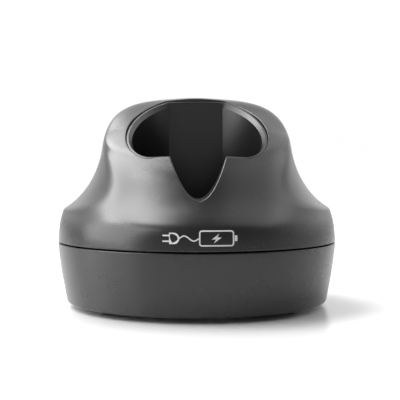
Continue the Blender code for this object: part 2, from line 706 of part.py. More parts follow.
def along_y(name, radius, start, end, finish=None, segments=ROUND):
    """A round bar on the socket's axis."""
    return cylinder(name, radius, (0, start, JACK_AXIS), (0, end, JACK_AXIS), finish, segments)


# ================================================================ feet, screws, ballast, label
def make_foot(name, x, y, finish):
    """A round rubber pad with a chamfered tread and a shallow dimple under it."""
    top = FOOT_STAND + FOOT_RECESS - GAP
    outline = [
        (0, FOOT_DIMPLE), (FOOT_RADIUS * 0.32, FOOT_DIMPLE), (FOOT_RADIUS * 0.4, 0),
        (FOOT_RADIUS - FOOT_CHAMFER, 0), (FOOT_RADIUS, FOOT_CHAMFER), (FOOT_RADIUS, top), (0, top),
    ]  # fmt: skip
    return turned(name, outline, finish, segments=32, x=x, y=y)


def make_screw(name, x, y, under_head, length, radius, head_radius, head_height, finish, up=True):
    """A pan-head screw; its shank runs up from under_head, or down when up is False."""
    way = 1 if up else -1
    socket = head_radius * 0.42
    outline = [
        (0, under_head - way * head_height * 0.45),
        (socket, under_head - way * head_height * 0.45),
        (socket, under_head - way * head_height),
        (head_radius * 0.72, under_head - way * head_height),
        (head_radius, under_head - way * head_height * 0.6),
        (head_radius, under_head),
        (radius, under_head),
        (radius, under_head + way * (length - 1.5 * radius)),
        (radius * 0.25, under_head + way * length),
        (0, under_head + way * length),
    ]
    return turned(name, outline if up else outline[::-1], finish, segments=12, x=x, y=y)


def make_ballast(finish):
    """A steel horseshoe that drops over the four bosses, open towards the board at the back."""
    half_gap = math.radians(BALLAST_MOUTH_DEG / 2)
    start, end = math.pi / 2 + half_gap, math.pi / 2 - half_gap + math.tau
    turns = np.linspace(start, end, 41)
    outer = [(BALLAST_OUTER * math.cos(a), BALLAST_OUTER * math.sin(a)) for a in turns]
    inner = [(BALLAST_INNER * math.cos(a), BALLAST_INNER * math.sin(a)) for a in turns[::-1]]
    bottom = BASE_FLOOR_TOP + GAP
    outline = [(x, y, bottom) for x, y in outer + inner]
    plate = prism("ballast_plate", outline, (0, 0, BALLAST_THICKNESS), finish)
    for place, (x, y) in FOOT_PLACES.items():
        cut(plate, upright(f"{place} boss hole", BOSS_RADIUS + GAP, x, y, 0, 2 * BOSS_HEIGHT))
    for side, (x, y) in stake_places().items():
        cut(plate, upright(f"{side} stake hole", STAKE_RADIUS + GAP, x, y, 0, BOSS_HEIGHT, segments=16))
    return plate


def make_label(finish):
    top = FOOT_STAND + LABEL_RECESS - GAP
    return block(
        "rating_label",
        (-LABEL_HALF_WIDTH, -LABEL_HALF_DEPTH, top - LABEL_THICKNESS),
        (LABEL_HALF_WIDTH, LABEL_HALF_DEPTH, top),
        finish,
    )


# ================================================================ board, contacts and socket
def make_board(finish):
    board = block(
        "circuit_board",
        (-BOARD_HALF_WIDTH, BOARD_FRONT, BOARD_BOTTOM),
        (BOARD_HALF_WIDTH, BOARD_BACK, BOARD_TOP),
        finish,
    )
    for place, (x, y) in board_screw_places().items():
        radius = SMALL_SCREW_RADIUS + SLIDE_GAP
        cut(board, upright(f"{place} board hole", radius, x, y, 0, 2 * BOARD_TOP, segments=12))
    return board


def make_holder(finish):
    """The black block that guides both contacts, with a low screw ear at each end."""
    holder = block(
        "contact_holder",
        (-HOLDER_HALF_WIDTH, CONTACT_Y - HOLDER_HALF_DEPTH, HOLDER_BOTTOM),
        (HOLDER_HALF_WIDTH, CONTACT_Y + HOLDER_HALF_DEPTH, HOLDER_BOTTOM + HOLDER_EAR_HEIGHT),
        finish,
    )
    tower = block(
        "holder tower",
        (-HOLDER_TOWER_HALF_WIDTH, CONTACT_Y - HOLDER_HALF_DEPTH, HOLDER_BOTTOM),
        (HOLDER_TOWER_HALF_WIDTH, CONTACT_Y + HOLDER_HALF_DEPTH, HOLDER_TOP),
    )
    join(holder, tower)
    for side, sign in SIDES.items():
        x = sign * CONTACT_X
        bore = upright(
            f"{side} spring bore", PIN_FLANGE_RADIUS + SLIDE_GAP, x, CONTACT_Y, 0, HOLDER_TOP - HOLDER_LIP
        )
        guide = upright(f"{side} guide", PIN_RADIUS + SLIDE_GAP, x, CONTACT_Y, 0, 2 * HOLDER_TOP)
        screw = upright(
            f"{side} holder screw hole",
            SMALL_SCREW_RADIUS + SLIDE_GAP,
            sign * BOARD_SCREW_X,
            CONTACT_Y,
            0,
            2 * HOLDER_TOP,
            segments=12,
        )
        cut(holder, bore, guide, screw)
    return holder


def make_contact_pin(name, x, finish):
    """A domed pin with a flange that its spring pushes up against the holder's lip."""
    tip = WELL_FLOOR_HEIGHT + CONTACT_STAND
    dome = [
        (PIN_RADIUS * math.cos(a), tip - PIN_RADIUS * 0.7 * (1 - math.sin(a)))
        for a in np.linspace(0, math.pi / 2, BLEND_STEPS)
    ]
    flange_bottom = PIN_FLANGE_TOP - PIN_FLANGE_HEIGHT
    outline = [
        (0, flange_bottom - PIN_TAIL_LENGTH),
        (PIN_TAIL_RADIUS, flange_bottom - PIN_TAIL_LENGTH),
        (PIN_TAIL_RADIUS, flange_bottom),
        (PIN_FLANGE_RADIUS, flange_bottom),
        (PIN_FLANGE_RADIUS, PIN_FLANGE_TOP),
        (PIN_RADIUS, PIN_FLANGE_TOP),
        *dome[:-1],
        (0, tip),
    ]
    pin = turned(name, outline, finish, x=0, y=0)
    pin.location = (x, CONTACT_Y, 0)
    return pin


def make_spring_seat(name, x, finish):
    bottom = HOLDER_BOTTOM
    radius = PIN_FLANGE_RADIUS
    return upright(name, radius, x, CONTACT_Y, bottom, bottom + SEAT_THICKNESS, finish, segments=20)


def make_contact_spring(name, x, finish):
    """A compression spring between its seat and the pin's flange."""
    bottom = HOLDER_BOTTOM + SEAT_THICKNESS + GAP / 2 + SPRING_WIRE / 2
    top = PIN_FLANGE_TOP - PIN_FLANGE_HEIGHT - GAP / 2 - SPRING_WIRE / 2
    coil_radius = (PIN_FLANGE_RADIUS + PIN_TAIL_RADIUS) / 2
    wire = bpy.data.curves.new(name, "CURVE")
    wire.dimensions = "3D"
    wire.bevel_depth = SPRING_WIRE / 2
    wire.bevel_resolution = 1
    wire.use_fill_caps = True
    per_turn = 12
    count = int(SPRING_TURNS * per_turn) + 1
    line = wire.splines.new("POLY")
    line.points.add(count - 1)
    for i in range(count):
        turn = math.tau * i / per_turn
        share = i / (count - 1)
        line.points[i].co = (
            x + coil_radius * math.cos(turn),
            CONTACT_Y + coil_radius * math.sin(turn),
            bottom + (top - bottom) * share,
            1,
        )
    spring = bpy.data.objects.new(name, wire)
    bpy.context.scene.collection.objects.link(spring)
    wire.materials.append(finish)
    return spring


def make_jack(body_finish, metal):
    """The socket that the charger's plug goes into, with its centre pin and its sleeve contact."""
    body = block(
        "dc_jack_body",
        (-JACK_HALF_WIDTH, JACK_BACK, JACK_BOTTOM),
        (JACK_HALF_WIDTH, JACK_FACE, JACK_BOTTOM + JACK_BODY_HEIGHT),
        body_finish,
    )
    join(body, along_y("jack nose", JACK_NOSE_RADIUS, JACK_FACE - JACK_NOSE_ROOT, NOSE_FRONT))
    bore_end = NOSE_FRONT - JACK_BORE_DEPTH
    cut(body, along_y("jack bore", JACK_BORE_RADIUS, bore_end, 2 * BASE_RADIUS))
    cut(body, along_y("jack pin hole", JACK_PIN_RADIUS + SLIDE_GAP, 0, bore_end + CLEAR, segments=16))
    tag_back = JACK_BACK - JACK_TAG_OUT
    tag_front = tag_back + JACK_TAG_THICKNESS
    pin_back = (tag_back + tag_front) / 2
    pin_front = NOSE_FRONT - JACK_PIN_RECESS
    pin = along_y("dc_jack_pin", JACK_PIN_RADIUS, pin_back, pin_front, metal, segments=16)
    tag_top = JACK_AXIS + JACK_TAG_HALF_WIDTH / 2
    tag = block(
        "jack pin tag",
        (-JACK_TAG_HALF_WIDTH, tag_back, BOARD_TOP + GAP),
        (JACK_TAG_HALF_WIDTH, tag_front, tag_top),
    )
    join(pin, tag)
    leaf_bottom = JACK_AXIS - JACK_BORE_RADIUS + GAP
    block(
        "dc_jack_leaf",
        (-JACK_TAG_HALF_WIDTH, bore_end + GAP, leaf_bottom),
        (JACK_TAG_HALF_WIDTH, NOSE_FRONT - JACK_LEAF_RECESS, leaf_bottom + JACK_LEAF_THICKNESS),
        metal,
    )


def make_chips(diode_finish, fuse_finish):
    """The two small parts between the socket and the contacts: a diode and a resettable fuse."""
    middle = (CONTACT_Y + HOLDER_HALF_DEPTH + JACK_BACK) / 2
    bottom = BOARD_TOP + GAP
    for name, sign, half_width, finish in (
        ("protection_diode", -1, DIODE_HALF_WIDTH, diode_finish),
        ("resettable_fuse", 1, FUSE_HALF_WIDTH, fuse_finish),
    ):
        x = sign * CONTACT_X
        block(
            name,
            (x - half_width, middle - CHIP_LENGTH / 2, bottom),
            (x + half_width, middle + CHIP_LENGTH / 2, bottom + CHIP_HEIGHT),
            finish,
        )


# ================================================================ the whole stand
def build():
    clear_scene()
    satin_black = plain_material("satin_black_plastic", (0.040, 0.040, 0.042), 0.42)
    liner_black = plain_material("liner_black_plastic", (0.018, 0.018, 0.019), 0.38)
    rubber = plain_material("black_rubber", (0.020, 0.020, 0.020), 0.85)
    screw_steel = plain_material("zinc_steel", (0.62, 0.62, 0.60), 0.35, 1.0)
    ballast_steel = plain_material("ballast_steel", (0.42, 0.42, 0.43), 0.45, 1.0)
    board_green = plain_material("board_laminate", (0.03, 0.17, 0.07), 0.45)
    nickel = plain_material("nickel_plate", (0.78, 0.74, 0.66), 0.22, 1.0)
    spring_steel = plain_material("spring_steel", (0.60, 0.60, 0.62), 0.30, 1.0)
    nylon = plain_material("black_nylon", (0.022, 0.022, 0.024), 0.55)
    chip_epoxy = plain_material("chip_epoxy", (0.03, 0.03, 0.03), 0.50)
    fuse_green = plain_material("fuse_coating", (0.10, 0.22, 0.10), 0.50)
    foil = plain_material("label_foil", (0.55, 0.55, 0.54), 0.40)

    make_upper_shell(satin_black)
    make_liner(liner_black)
    make_base_shell(satin_black)
    for place, (x, y) in FOOT_PLACES.items():
        make_foot(f"foot_{place}", x, y, rubber)
        make_screw(
            f"housing_screw_{place}", x, y, HEAD_SEAT_HEIGHT - GAP, HOUSING_SCREW_LENGTH,
            HOUSING_SCREW_RADIUS, HOUSING_HEAD_RADIUS, HOUSING_HEAD_HEIGHT, screw_steel,
        )  # fmt: skip
    make_ballast(ballast_steel)
    make_label(foil)

    make_board(board_green)
    for place, (x, y) in board_screw_places().items():
        on_holder = HOLDER_BOTTOM + HOLDER_EAR_HEIGHT if place.startswith("front") else BOARD_TOP
        under_head = on_holder + GAP
        make_screw(
            f"board_screw_{place}", x, y, under_head, under_head - BASE_FLOOR_TOP, SMALL_SCREW_RADIUS,
            SMALL_HEAD_RADIUS, SMALL_HEAD_HEIGHT, screw_steel, up=False,
        )  # fmt: skip
    make_holder(nylon)
    for side, sign in SIDES.items():
        x = sign * CONTACT_X
        make_contact_pin(f"contact_pin_{side}", x, nickel)
        make_contact_spring(f"contact_spring_{side}", x, spring_steel)
        make_spring_seat(f"spring_seat_{side}", x, nickel)
        make_screw(
            f"liner_screw_{side}", sign * EAR_X, 0, EAR_BOTTOM - GAP, LINER_SCREW_LENGTH,
            SMALL_SCREW_RADIUS, SMALL_HEAD_RADIUS, SMALL_HEAD_HEIGHT, screw_steel,
        )  # fmt: skip
    make_jack(nylon, nickel)
    make_chips(chip_epoxy, fuse_green)


build()
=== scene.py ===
"""Looks of a hair clipper's charging stand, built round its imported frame.

Laid out as an add-on: property groups hold the sizes and colours, one operator makes each piece or
group of like pieces, and a panel lists them. Lengths are in metres, +Z is up and the front is -Y.
"""

import json
import math

import bmesh
import bpy
import numpy as np
from bpy.props import FloatProperty, FloatVectorProperty, PointerProperty
from mathutils import Matrix, Vector
from mathutils.bvhtree import BVHTree


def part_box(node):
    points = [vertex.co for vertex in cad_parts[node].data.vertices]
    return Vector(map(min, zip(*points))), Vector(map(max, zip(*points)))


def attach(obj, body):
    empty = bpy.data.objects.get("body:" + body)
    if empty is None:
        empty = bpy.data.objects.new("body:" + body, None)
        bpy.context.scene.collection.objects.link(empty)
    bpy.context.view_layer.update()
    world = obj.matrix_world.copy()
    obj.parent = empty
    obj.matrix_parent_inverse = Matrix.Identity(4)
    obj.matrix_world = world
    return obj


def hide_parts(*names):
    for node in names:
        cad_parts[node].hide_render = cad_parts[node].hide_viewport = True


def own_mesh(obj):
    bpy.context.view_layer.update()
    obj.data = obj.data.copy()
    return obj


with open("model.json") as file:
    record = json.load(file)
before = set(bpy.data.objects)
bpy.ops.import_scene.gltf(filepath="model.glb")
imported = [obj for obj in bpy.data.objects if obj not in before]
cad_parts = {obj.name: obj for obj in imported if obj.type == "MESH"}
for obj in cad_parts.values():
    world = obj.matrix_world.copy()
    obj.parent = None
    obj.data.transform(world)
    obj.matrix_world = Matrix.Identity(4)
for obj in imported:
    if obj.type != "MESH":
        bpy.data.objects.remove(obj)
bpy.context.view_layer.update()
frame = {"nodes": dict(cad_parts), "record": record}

bl_info = {
    "name": "Clipper Charging Stand",
    "version": (1, 0, 0),
    "blender": (4, 5, 0),
    "location": "3D View > Sidebar > Stand",
    "description": "Builds a moulded charging stand with its well, contacts, socket and studio",
    "category": "Object",
}

MM = 0.001
BODY = "stand"
SIDES = {"left": -1, "right": 1}
PLACES = ("front_left", "front_right", "rear_left", "rear_right")
GAP = 0.3 * MM  # left between neighbouring pieces
HOUSING_SCREW_HEAD = 2.0 * MM  # heights of the screws' heads
BOARD_SCREW_HEAD = LINER_SCREW_HEAD = 1.5 * MM
SOCKET_NOSE = 4.0 * MM  # radius of the socket's round front
CLEAR = 1.0 * MM  # how far a cutter stands out past what it cuts
TIP = 0.002 * MM  # radius left at the ends of turned outlines


def middle_of(node):
    low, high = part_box(node)
    return (Vector(low) + Vector(high)) / 2


def low_of(node):
    return Vector(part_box(node)[0])


def high_of(node):
    return Vector(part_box(node)[1])


def mount_place(name):
    """Where a mount of the record lies."""
    mount = next(item for item in frame["record"]["mounts"] if item["name"] == name)
    return Vector(mount["pos_m"])


# ================================================================ sizes, colours and studio
def length(name, description, default):
    return FloatProperty(name=name, description=description, default=default, unit="LENGTH", precision=5)


def share(name, description, default):
    return FloatProperty(name=name, description=description, default=default, subtype="FACTOR")


def number(name, description, default):
    return FloatProperty(name=name, description=description, default=default)


def turn(name, description, default):
    return FloatProperty(name=name, description=description, default=default, subtype="ANGLE")


def colour(name, description, default):
    return FloatVectorProperty(
        name=name, description=description, default=default, subtype="COLOR", size=3, min=0, max=1
    )


class TowerSizes(bpy.types.PropertyGroup):
    """The tower's skin, its mouth and its notch."""

    crown: length("Crown", "Height of the slanted top, carried across the well, on the axis", 0.0621)
    slope: number("Slope", "Rise of the top towards the back", 0.516)
    fall: number("Fall", "The top falls away sideways by this times x squared", 1.7)
    side_band: length("Side band", "From the mouth's side out to the brow", 0.0067)
    side_drop: length("Side drop", "Depth of the side brow below the top", 0.0012)
    back_band: length("Back band", "From the mouth's back out to the brow", 0.0063)
    back_drop: length("Back drop", "Depth of the back brow below the top", 0.0033)
    corner_out: share("Corner swell", "How far the rear corners swell, as a share of radius", 0.06)
    corner_up: length("Corner lift", "How far the brow is lifted at the rear corners", 0.0022)
    waist: length("Waist", "Radius where the scooped waist stands upright", 0.0324)
    scoop_top: length("Scoop top", "Height where the waist stands upright", 0.060)
    scoop_height: length("Scoop height", "From there down to the shoulder", 0.0287)
    scoop_flare: length("Scoop flare", "How far the scoop runs out past the base's radius", 0.0073)
    crease: length("Crease", "Width over which the scoops blend into the flanks", 0.001)
    wall: length("Wall", "Thickness of the housings", 0.0022)
    seam_round: length("Seam rounding", "Rounding of the edges along the seam", 0.0003)
    rim_round: length("Rim rounding", "Rounding of the mouth's and the notch's edge", 0.0003)
    mouth_half: length("Mouth half width", "Half the mouth's greatest width", 0.0245)
    mouth_reach: length("Mouth reach", "From the axis to the mouth's front and back", 0.020)
    mouth_widest: length("Mouth's widest place", "y of the mouth's greatest width", -0.004)
    front_flat: length("Front flat", "Half the mouth's straight front edge", 0.0153)
    back_flat: length("Back flat", "Half the mouth's straight back edge", 0.0103)
    notch_half: length("Notch half width", "Half the notch's width at the rim", 0.0093)
    notch_depth: length("Notch depth", "From the front rim down to the notch's tip", 0.0142)


class CupSizes(bpy.types.PropertyGroup):
    """The cup inside the tower that holds the clipper's handle."""

    gap: length("Gap", "Space left between neighbouring mouldings", 0.0003)
    reveal: length("Reveal", "Depth of the cup's rim below the tower's", 0.0006)
    wall: length("Wall", "Thickness of the cup", 0.0018)
    land: length("Land", "Flat on top of the rim", 0.0007)
    lead_in: length("Lead-in", "Depth of the funnel below the rim", 0.0013)
    channel_half: length("Channel half width", "Half the flat panel at the back", 0.0098)
    channel_depth: length("Channel depth", "How far the panel is let into the wall", 0.0008)
    floor_round: length("Floor rounding", "Rounding between wall and floor", 0.0012)
    trough_wall: length("Trough wall", "Thickness of the trough behind the notch", 0.0015)


class BaseSizes(bpy.types.PropertyGroup):
    """The housing below the seam."""

    lean: length("Lean", "How far the wall draws in from the seam to the bottom", 0.00305)
    lean_power: number("Lean curve", "1 leans evenly, more leans later", 1.4)
    bottom_round: length("Bottom rounding", "Rounding of the lower edge", 0.0009)
    lip_height: length("Lip height", "How far the lip reaches into the tower", 0.0022)
    lip_gap: length("Lip gap", "Space between the lip and the tower's wall", 0.001)
    lip_wall: length("Lip thickness", "Thickness of the lip", 0.0012)


class StandColours(bpy.types.PropertyGroup):
    """Colours of the finishes."""

    housing: colour("Housing", "Dark grey moulded plastic", (0.0105, 0.0105, 0.0108))
    cup: colour("Cup", "Black plastic inside the well", (0.0040, 0.0040, 0.0042))
    rubber: colour("Rubber", "The feet", (0.012, 0.012, 0.012))
    ink: colour("Ink", "The printed pictogram", (0.56, 0.56, 0.57))
    zinc: colour("Zinc", "Plated screws", (0.62, 0.61, 0.58))
    steel: colour("Steel", "Ballast and springs", (0.46, 0.46, 0.47))
    nickel: colour("Nickel", "Contacts", (0.77, 0.73, 0.66))
    laminate: colour("Laminate", "Solder mask of the board", (0.015, 0.13, 0.05))
    nylon: colour("Nylon", "Contact holder and socket", (0.020, 0.020, 0.022))
    film: colour("Film", "Blank label", (0.52, 0.52, 0.53))


class Studio(bpy.types.PropertyGroup):
    """Camera and lights."""

    distance: length("Distance", "From the camera to the stand's axis", 0.350)
    height: length("Height", "Camera above the table", 0.05173)
    azimuth: turn("Azimuth", "Camera's turn round the stand", math.radians(-1.2))
    pitch: turn("Pitch", "Camera's downward tilt", 0.044)
    yaw: turn("Yaw", "Camera's sideways turn", -0.0032)
    lens: number("Lens", "Focal length in millimetres on a 36 mm sensor", 90.2)
    key: number("Key light", "Power in watts of the large softbox on the left", 9.5)
    top: number("Top light", "Power in watts of the softbox above the key", 8.0)
    strip: number("Strip light", "Power in watts of the small softbox nearly overhead", 1.0)
    fill: number("Fill light", "Power in watts of the softbox on the right", 0.9)
    glow: number("Glow", "Brightness of the sweep behind the stand", 1.42)
    glow_front: number("Front glow", "Brightness of the sweep behind the camera", 0.10)
    room: number("Room", "Brightness of the dark room above the sweep", 0.10)


class StandSettings(bpy.types.PropertyGroup):
    """Everything a user would change on the stand and in its studio."""

    tower: PointerProperty(type=TowerSizes)
    cup: PointerProperty(type=CupSizes)
    base: PointerProperty(type=BaseSizes)
    colours: PointerProperty(type=StandColours)
    studio: PointerProperty(type=Studio)


def settings():
    return bpy.context.scene.charging_stand


# ================================================================ shader maths
class Term:
    """A shader socket that takes part in Python sums, which add Math nodes."""

    def __init__(self, finish, socket):
        self.finish = finish
        self.socket = socket

    def sum(self, operation, *values):
        return self.finish.node("ShaderNodeMath", {"operation": operation}, dict(enumerate(values)))

    def __add__(self, other):
        return self.sum("ADD", self, other)

    def __radd__(self, other):
        return self.sum("ADD", other, self)

    def __sub__(self, other):
        return self.sum("SUBTRACT", self, other)

    def __rsub__(self, other):
        return self.sum("SUBTRACT", other, self)

    def __mul__(self, other):
        return self.sum("MULTIPLY", self, other)

    def __rmul__(self, other):
        return self.sum("MULTIPLY", other, self)

    def __truediv__(self, other):
        return self.sum("DIVIDE", self, other)

    def __pow__(self, other):
        return self.sum("POWER", self, other)

    def above(self, other):
        return self.sum("GREATER_THAN", self, other)

    def most(self, other):
        return self.sum("MAXIMUM", self, other)

    def least(self, other):
        return self.sum("MINIMUM", self, other)

    def size(self):
        return self.sum("ABSOLUTE", self)

    def fraction(self):
        return self.sum("FRACT", self)

    def ramp(self, start, end):
        """0 below start and 1 above end, with a smooth step between; start may be the larger one."""
        return self.finish.node(
            "ShaderNodeMapRange",
            {"interpolation_type": "SMOOTHSTEP"},
            {"Value": self, "From Min": start, "From Max": end},
        )


class Finish:
    """A material in the making."""

    def __init__(self, name):
        self.material = bpy.data.materials.new(name)
        self.material.use_nodes = True
        self.tree = self.material.node_tree
        self.shader = self.tree.nodes["Principled BSDF"]

    def node(self, kind, choices=None, values=None, output=0):
        """A node of this kind, with its choices made and its sockets filled. Gives one output as a Term."""
        made = self.tree.nodes.new(kind)
        for key, value in (choices or {}).items():
            setattr(made, key, value)
        for key, value in (values or {}).items():
            self.fill(made.inputs[key], value)
        return Term(self, made.outputs[output])

    def fill(self, socket, value):
        if isinstance(value, Term):
            self.tree.links.new(value.socket, socket)
        else:
            socket.default_value = value

    def surface(self, **values):
        """Fills the shader's sockets: Base_Color stands for Base Color, and so on."""
        for key, value in values.items():
            name = key.replace("_", " ")
            if name == "Base Color" and not isinstance(value, Term):
                value = (*value, 1)
            self.fill(self.shader.inputs[name], value)

    def place(self):
        return self.node("ShaderNodeTexCoord", output="Object")

    def parts(self, vector):
        return [self.node("ShaderNodeSeparateXYZ", None, {0: vector}, axis) for axis in "XYZ"]

    def noise(self, scale, detail=2, roughness=0.5, at=None):
        """Noise whose bumps are scale metres wide."""
        at = at or self.place()
        values = {"Vector": at, "Scale": 1 / scale, "Detail": detail, "Roughness": roughness}
        return self.node("ShaderNodeTexNoise", None, values)

    def cells(self, scale, output="Distance", feature="F1"):
        """Random cells about scale metres wide."""
        values = {"Vector": self.place(), "Scale": 1 / scale}
        return self.node("ShaderNodeTexVoronoi", {"feature": feature}, values, output)

    def blend(self, amount, first, second):
        """A colour between two others."""
        values = {0: amount}
        for key, shade in ((6, first), (7, second)):
            values[key] = shade if isinstance(shade, Term) else (*shade, 1)
        return self.node("ShaderNodeMix", {"data_type": "RGBA"}, values, 2)

    def bump(self, height, distance, strength=1.0, under=None):
        """Normals for a height from 0 to 1 that stands distance metres tall."""
        values = {"Height": height, "Distance": distance, "Strength": strength}
        if under:
            values["Normal"] = under
        return self.node("ShaderNodeBump", None, values)

    def dust(self, spacing, speck, amount):
        """1 on a few specks about speck metres across, 0 elsewhere."""
        near = self.cells(spacing).ramp(speck / spacing, 0.4 * speck / spacing)
        chosen = self.parts(self.cells(spacing, "Color"))[0].above(1 - amount)
        return near * chosen


def scaled(shade, factor):
    return tuple(min(1.0, part * factor) for part in shade)


def moulded(name, shade, roughness, grain, relief):
    """Moulded plastic with a spark-eroded grain, faint mottling, handling marks and a few dust specks."""
    finish = Finish(name)
    mottle = finish.noise(9 * MM, 3)
    handled = finish.noise(24 * MM, 4, 0.6).ramp(0.52, 0.75)
    specks = finish.dust(9 * MM, 0.14 * MM, 0.03)
    tint = finish.blend(mottle, scaled(shade, 0.90), scaled(shade, 1.10))
    finish.surface(
        Base_Color=finish.blend(specks * 0.8, tint, (0.30, 0.30, 0.29)),
        Roughness=roughness + (mottle - 0.5) * 0.05 - handled * 0.03 + specks * 0.25,
    )
    pits = finish.cells(grain).ramp(0.15, 0.75)
    fine = finish.noise(grain * 0.6, 2)
    flow = finish.noise(40 * MM, 1)
    coarse = finish.bump(flow, 0.04 * MM, 0.5)
    finish.surface(Normal=finish.bump(pits * 0.6 + fine * 0.4, relief, 1.0, coarse))
    return finish.material


def housing_plastic(name="satin_housing"):
    return moulded(name, settings().colours.housing, roughness=0.28, grain=0.22 * MM, relief=0.006 * MM)


def cup_plastic():
    return moulded("black_cup", settings().colours.cup, roughness=0.34, grain=0.30 * MM, relief=0.003 * MM)


def nylon():
    shade = settings().colours.nylon
    return moulded("glass_nylon", shade, roughness=0.52, grain=0.16 * MM, relief=0.008 * MM)


def rubber():
    """Dull rubber, a little dusty, with fine mould marks."""
    finish = Finish("foot_rubber")
    cloud = finish.noise(1.6 * MM, 4, 0.6)
    dusty = finish.noise(5 * MM, 3).ramp(0.45, 0.8)
    shade = settings().colours.rubber
    finish.surface(
        Base_Color=finish.blend(dusty * 0.25, scaled(shade, 1), (0.10, 0.095, 0.09)),
        Roughness=0.78 + cloud * 0.14,
    )
    finish.surface(Normal=finish.bump(cloud, 0.03 * MM))
    return finish.material


def metal(name, shade, roughness, stretch=(1, 1, 12), stains=0.3):
    """Plated or drawn metal with fine streaks along one direction and a few dull stains."""
    finish = Finish(name)
    streaked = finish.node("ShaderNodeMapping", None, {"Vector": finish.place(), "Scale": stretch})
    streaks = finish.noise(0.4 * MM, 3, 0.6, streaked)
    stain = finish.noise(2.5 * MM, 3).ramp(0.5, 0.8) * stains
    finish.surface(
        Base_Color=finish.blend(stain, scaled(shade, 1), scaled(shade, 0.62)),
        Roughness=roughness + streaks * 0.12 + stain * 0.2,
        Metallic=1.0,
    )
    finish.surface(Normal=finish.bump(streaks, 0.006 * MM))
    return finish.material


def ink():
    """Pad-printed ink: nearly even, slightly thin in places."""
    finish = Finish("printed_ink")
    thin = finish.noise(0.25 * MM, 3).ramp(0.35, 0.75)
    shade = settings().colours.ink
    finish.surface(
        Base_Color=finish.blend(thin, scaled(shade, 0.88), scaled(shade, 1.06)),
        Roughness=0.45 + thin * 0.1,
    )
    finish.surface(Normal=finish.bump(thin, 0.004 * MM))
    return finish.material


def board_mask():
    """Solder mask with tracks under it, tinned rings round the holes and the laminate's weave."""
    finish = Finish("board_mask")
    x, y, _ = finish.parts(finish.place())
    laid = finish.node(
        "ShaderNodeTexBrick",
        {"offset": 0.37, "offset_frequency": 3},
        {"Vector": finish.place(), "Scale": 90.0, "Mortar Size": 0.10, "Mortar Smooth": 0.1,
         "Brick Width": 0.9, "Row Height": 0.35},
        "Fac",
    )  # fmt: skip
    track = laid.above(0.5)
    land = 2.6 * MM
    tinned = None
    for place in PLACES:
        hole = middle_of(f"board_screw_{place}")
        reach = ((x - hole.x) ** 2 + (y - hole.y) ** 2) ** 0.5
        ring = reach.ramp(land + 0.1 * MM, land - 0.1 * MM)
        tinned = ring if tinned is None else tinned.most(ring)
    shade = settings().colours.laminate
    mask = finish.blend(track * 0.5, scaled(shade, 1), scaled(shade, 1.9))
    weave = finish.noise(0.5 * MM, 2)
    finish.surface(
        Base_Color=finish.blend(tinned, mask, (0.62, 0.61, 0.58)),
        Roughness=0.32 + weave * 0.12,
        Metallic=tinned,
    )
    finish.surface(Normal=finish.bump(track * 0.7 + weave * 0.3, 0.03 * MM))
    return finish.material


def label_film():
    """Silver film with a plain printed frame and ruled, empty fields."""
    finish = Finish("label_film")
    low, high = low_of("rating_label"), high_of("rating_label")
    x, y, _ = finish.parts(finish.place())
    edge = (high.x - x.size()).least(high.y - y.size())
    margin, line, row = 0.9 * MM, 0.4 * MM, 3.6 * MM
    fade = 0.05 * MM
    border = edge.ramp(margin, margin + fade) * edge.ramp(margin + line + fade, margin + line)
    rule = ((y - low.y) / row).fraction().ramp(0.045, 0.03)
    inked = border.most(rule * edge.above(margin + line))
    brushed = finish.noise(0.5 * MM, 3, 0.6)
    shade = settings().colours.film
    film = finish.blend(brushed, scaled(shade, 0.9), scaled(shade, 1.08))
    finish.surface(
        Base_Color=finish.blend(inked, film, (0.05, 0.05, 0.05)),
        Roughness=0.30 + brushed * 0.15,
        Metallic=0.6 - inked * 0.6,
    )
    finish.surface(Normal=finish.bump(brushed, 0.004 * MM))
    return finish.material


def component(name, shade, roughness):
    """A small moulded or dipped component: cloudy, with a paler band at one end."""
    finish = Finish(name)
    _, y, _ = finish.parts(finish.place())
    cloud = finish.noise(0.6 * MM, 3)
    band = (y - middle_of("protection_diode").y).ramp(1.1 * MM, 1.15 * MM)
    tint = finish.blend(cloud, scaled(shade, 0.85), scaled(shade, 1.15))
    finish.surface(
        Base_Color=finish.blend(band * 0.7, tint, (0.5, 0.5, 0.48)), Roughness=roughness + cloud * 0.1
    )
    finish.surface(Normal=finish.bump(cloud, 0.01 * MM))
    return finish.material


# ================================================================ meshes
def new_piece(name, mesh, material, body=BODY, stands_for=(), sharp=38):
    """Puts a mesh in the scene as a piece that rides on a body."""
    piece = bpy.data.objects.new(name, mesh)
    bpy.context.scene.collection.objects.link(piece)
    mesh.materials.clear()
    mesh.materials.append(material)
    mesh.shade_smooth()
    mesh.set_sharp_from_angle(angle=math.radians(sharp))
    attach(piece, body)
    if stands_for:
        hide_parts(*stands_for)
    return piece


def grid_mesh(name, rows, ring=False):
    """A closed mesh from rows of points. Each row is a closed loop; ring joins the last row to the first,
    and otherwise the two end rows are capped."""
    rows = np.asarray(rows, float)
    count, around = rows.shape[:2]
    index = np.arange(count * around).reshape(count, around)
    upper = np.roll(index, -1, axis=0) if ring else index[1:]
    lower = index if ring else index[:-1]
    quads = np.stack([lower, np.roll(lower, -1, 1), np.roll(upper, -1, 1), upper], -1).reshape(-1, 4)
    points = rows.reshape(-1, 3)
    a, b, c, d = (points[quads[:, k]] for k in range(4))
    turned_in = np.einsum("ij,ij->", a, np.cross(b, c)) + np.einsum("ij,ij->", a, np.cross(c, d)) < 0
    faces = [tuple(quad) for quad in quads.tolist()]
    if not ring:
        faces.append(tuple(index[0, ::-1].tolist()))
        faces.append(tuple(index[-1].tolist()))
    mesh = bpy.data.meshes.new(name)
    mesh.from_pydata(points.tolist(), [], faces)
    if turned_in:
        mesh.flip_normals()
    return mesh


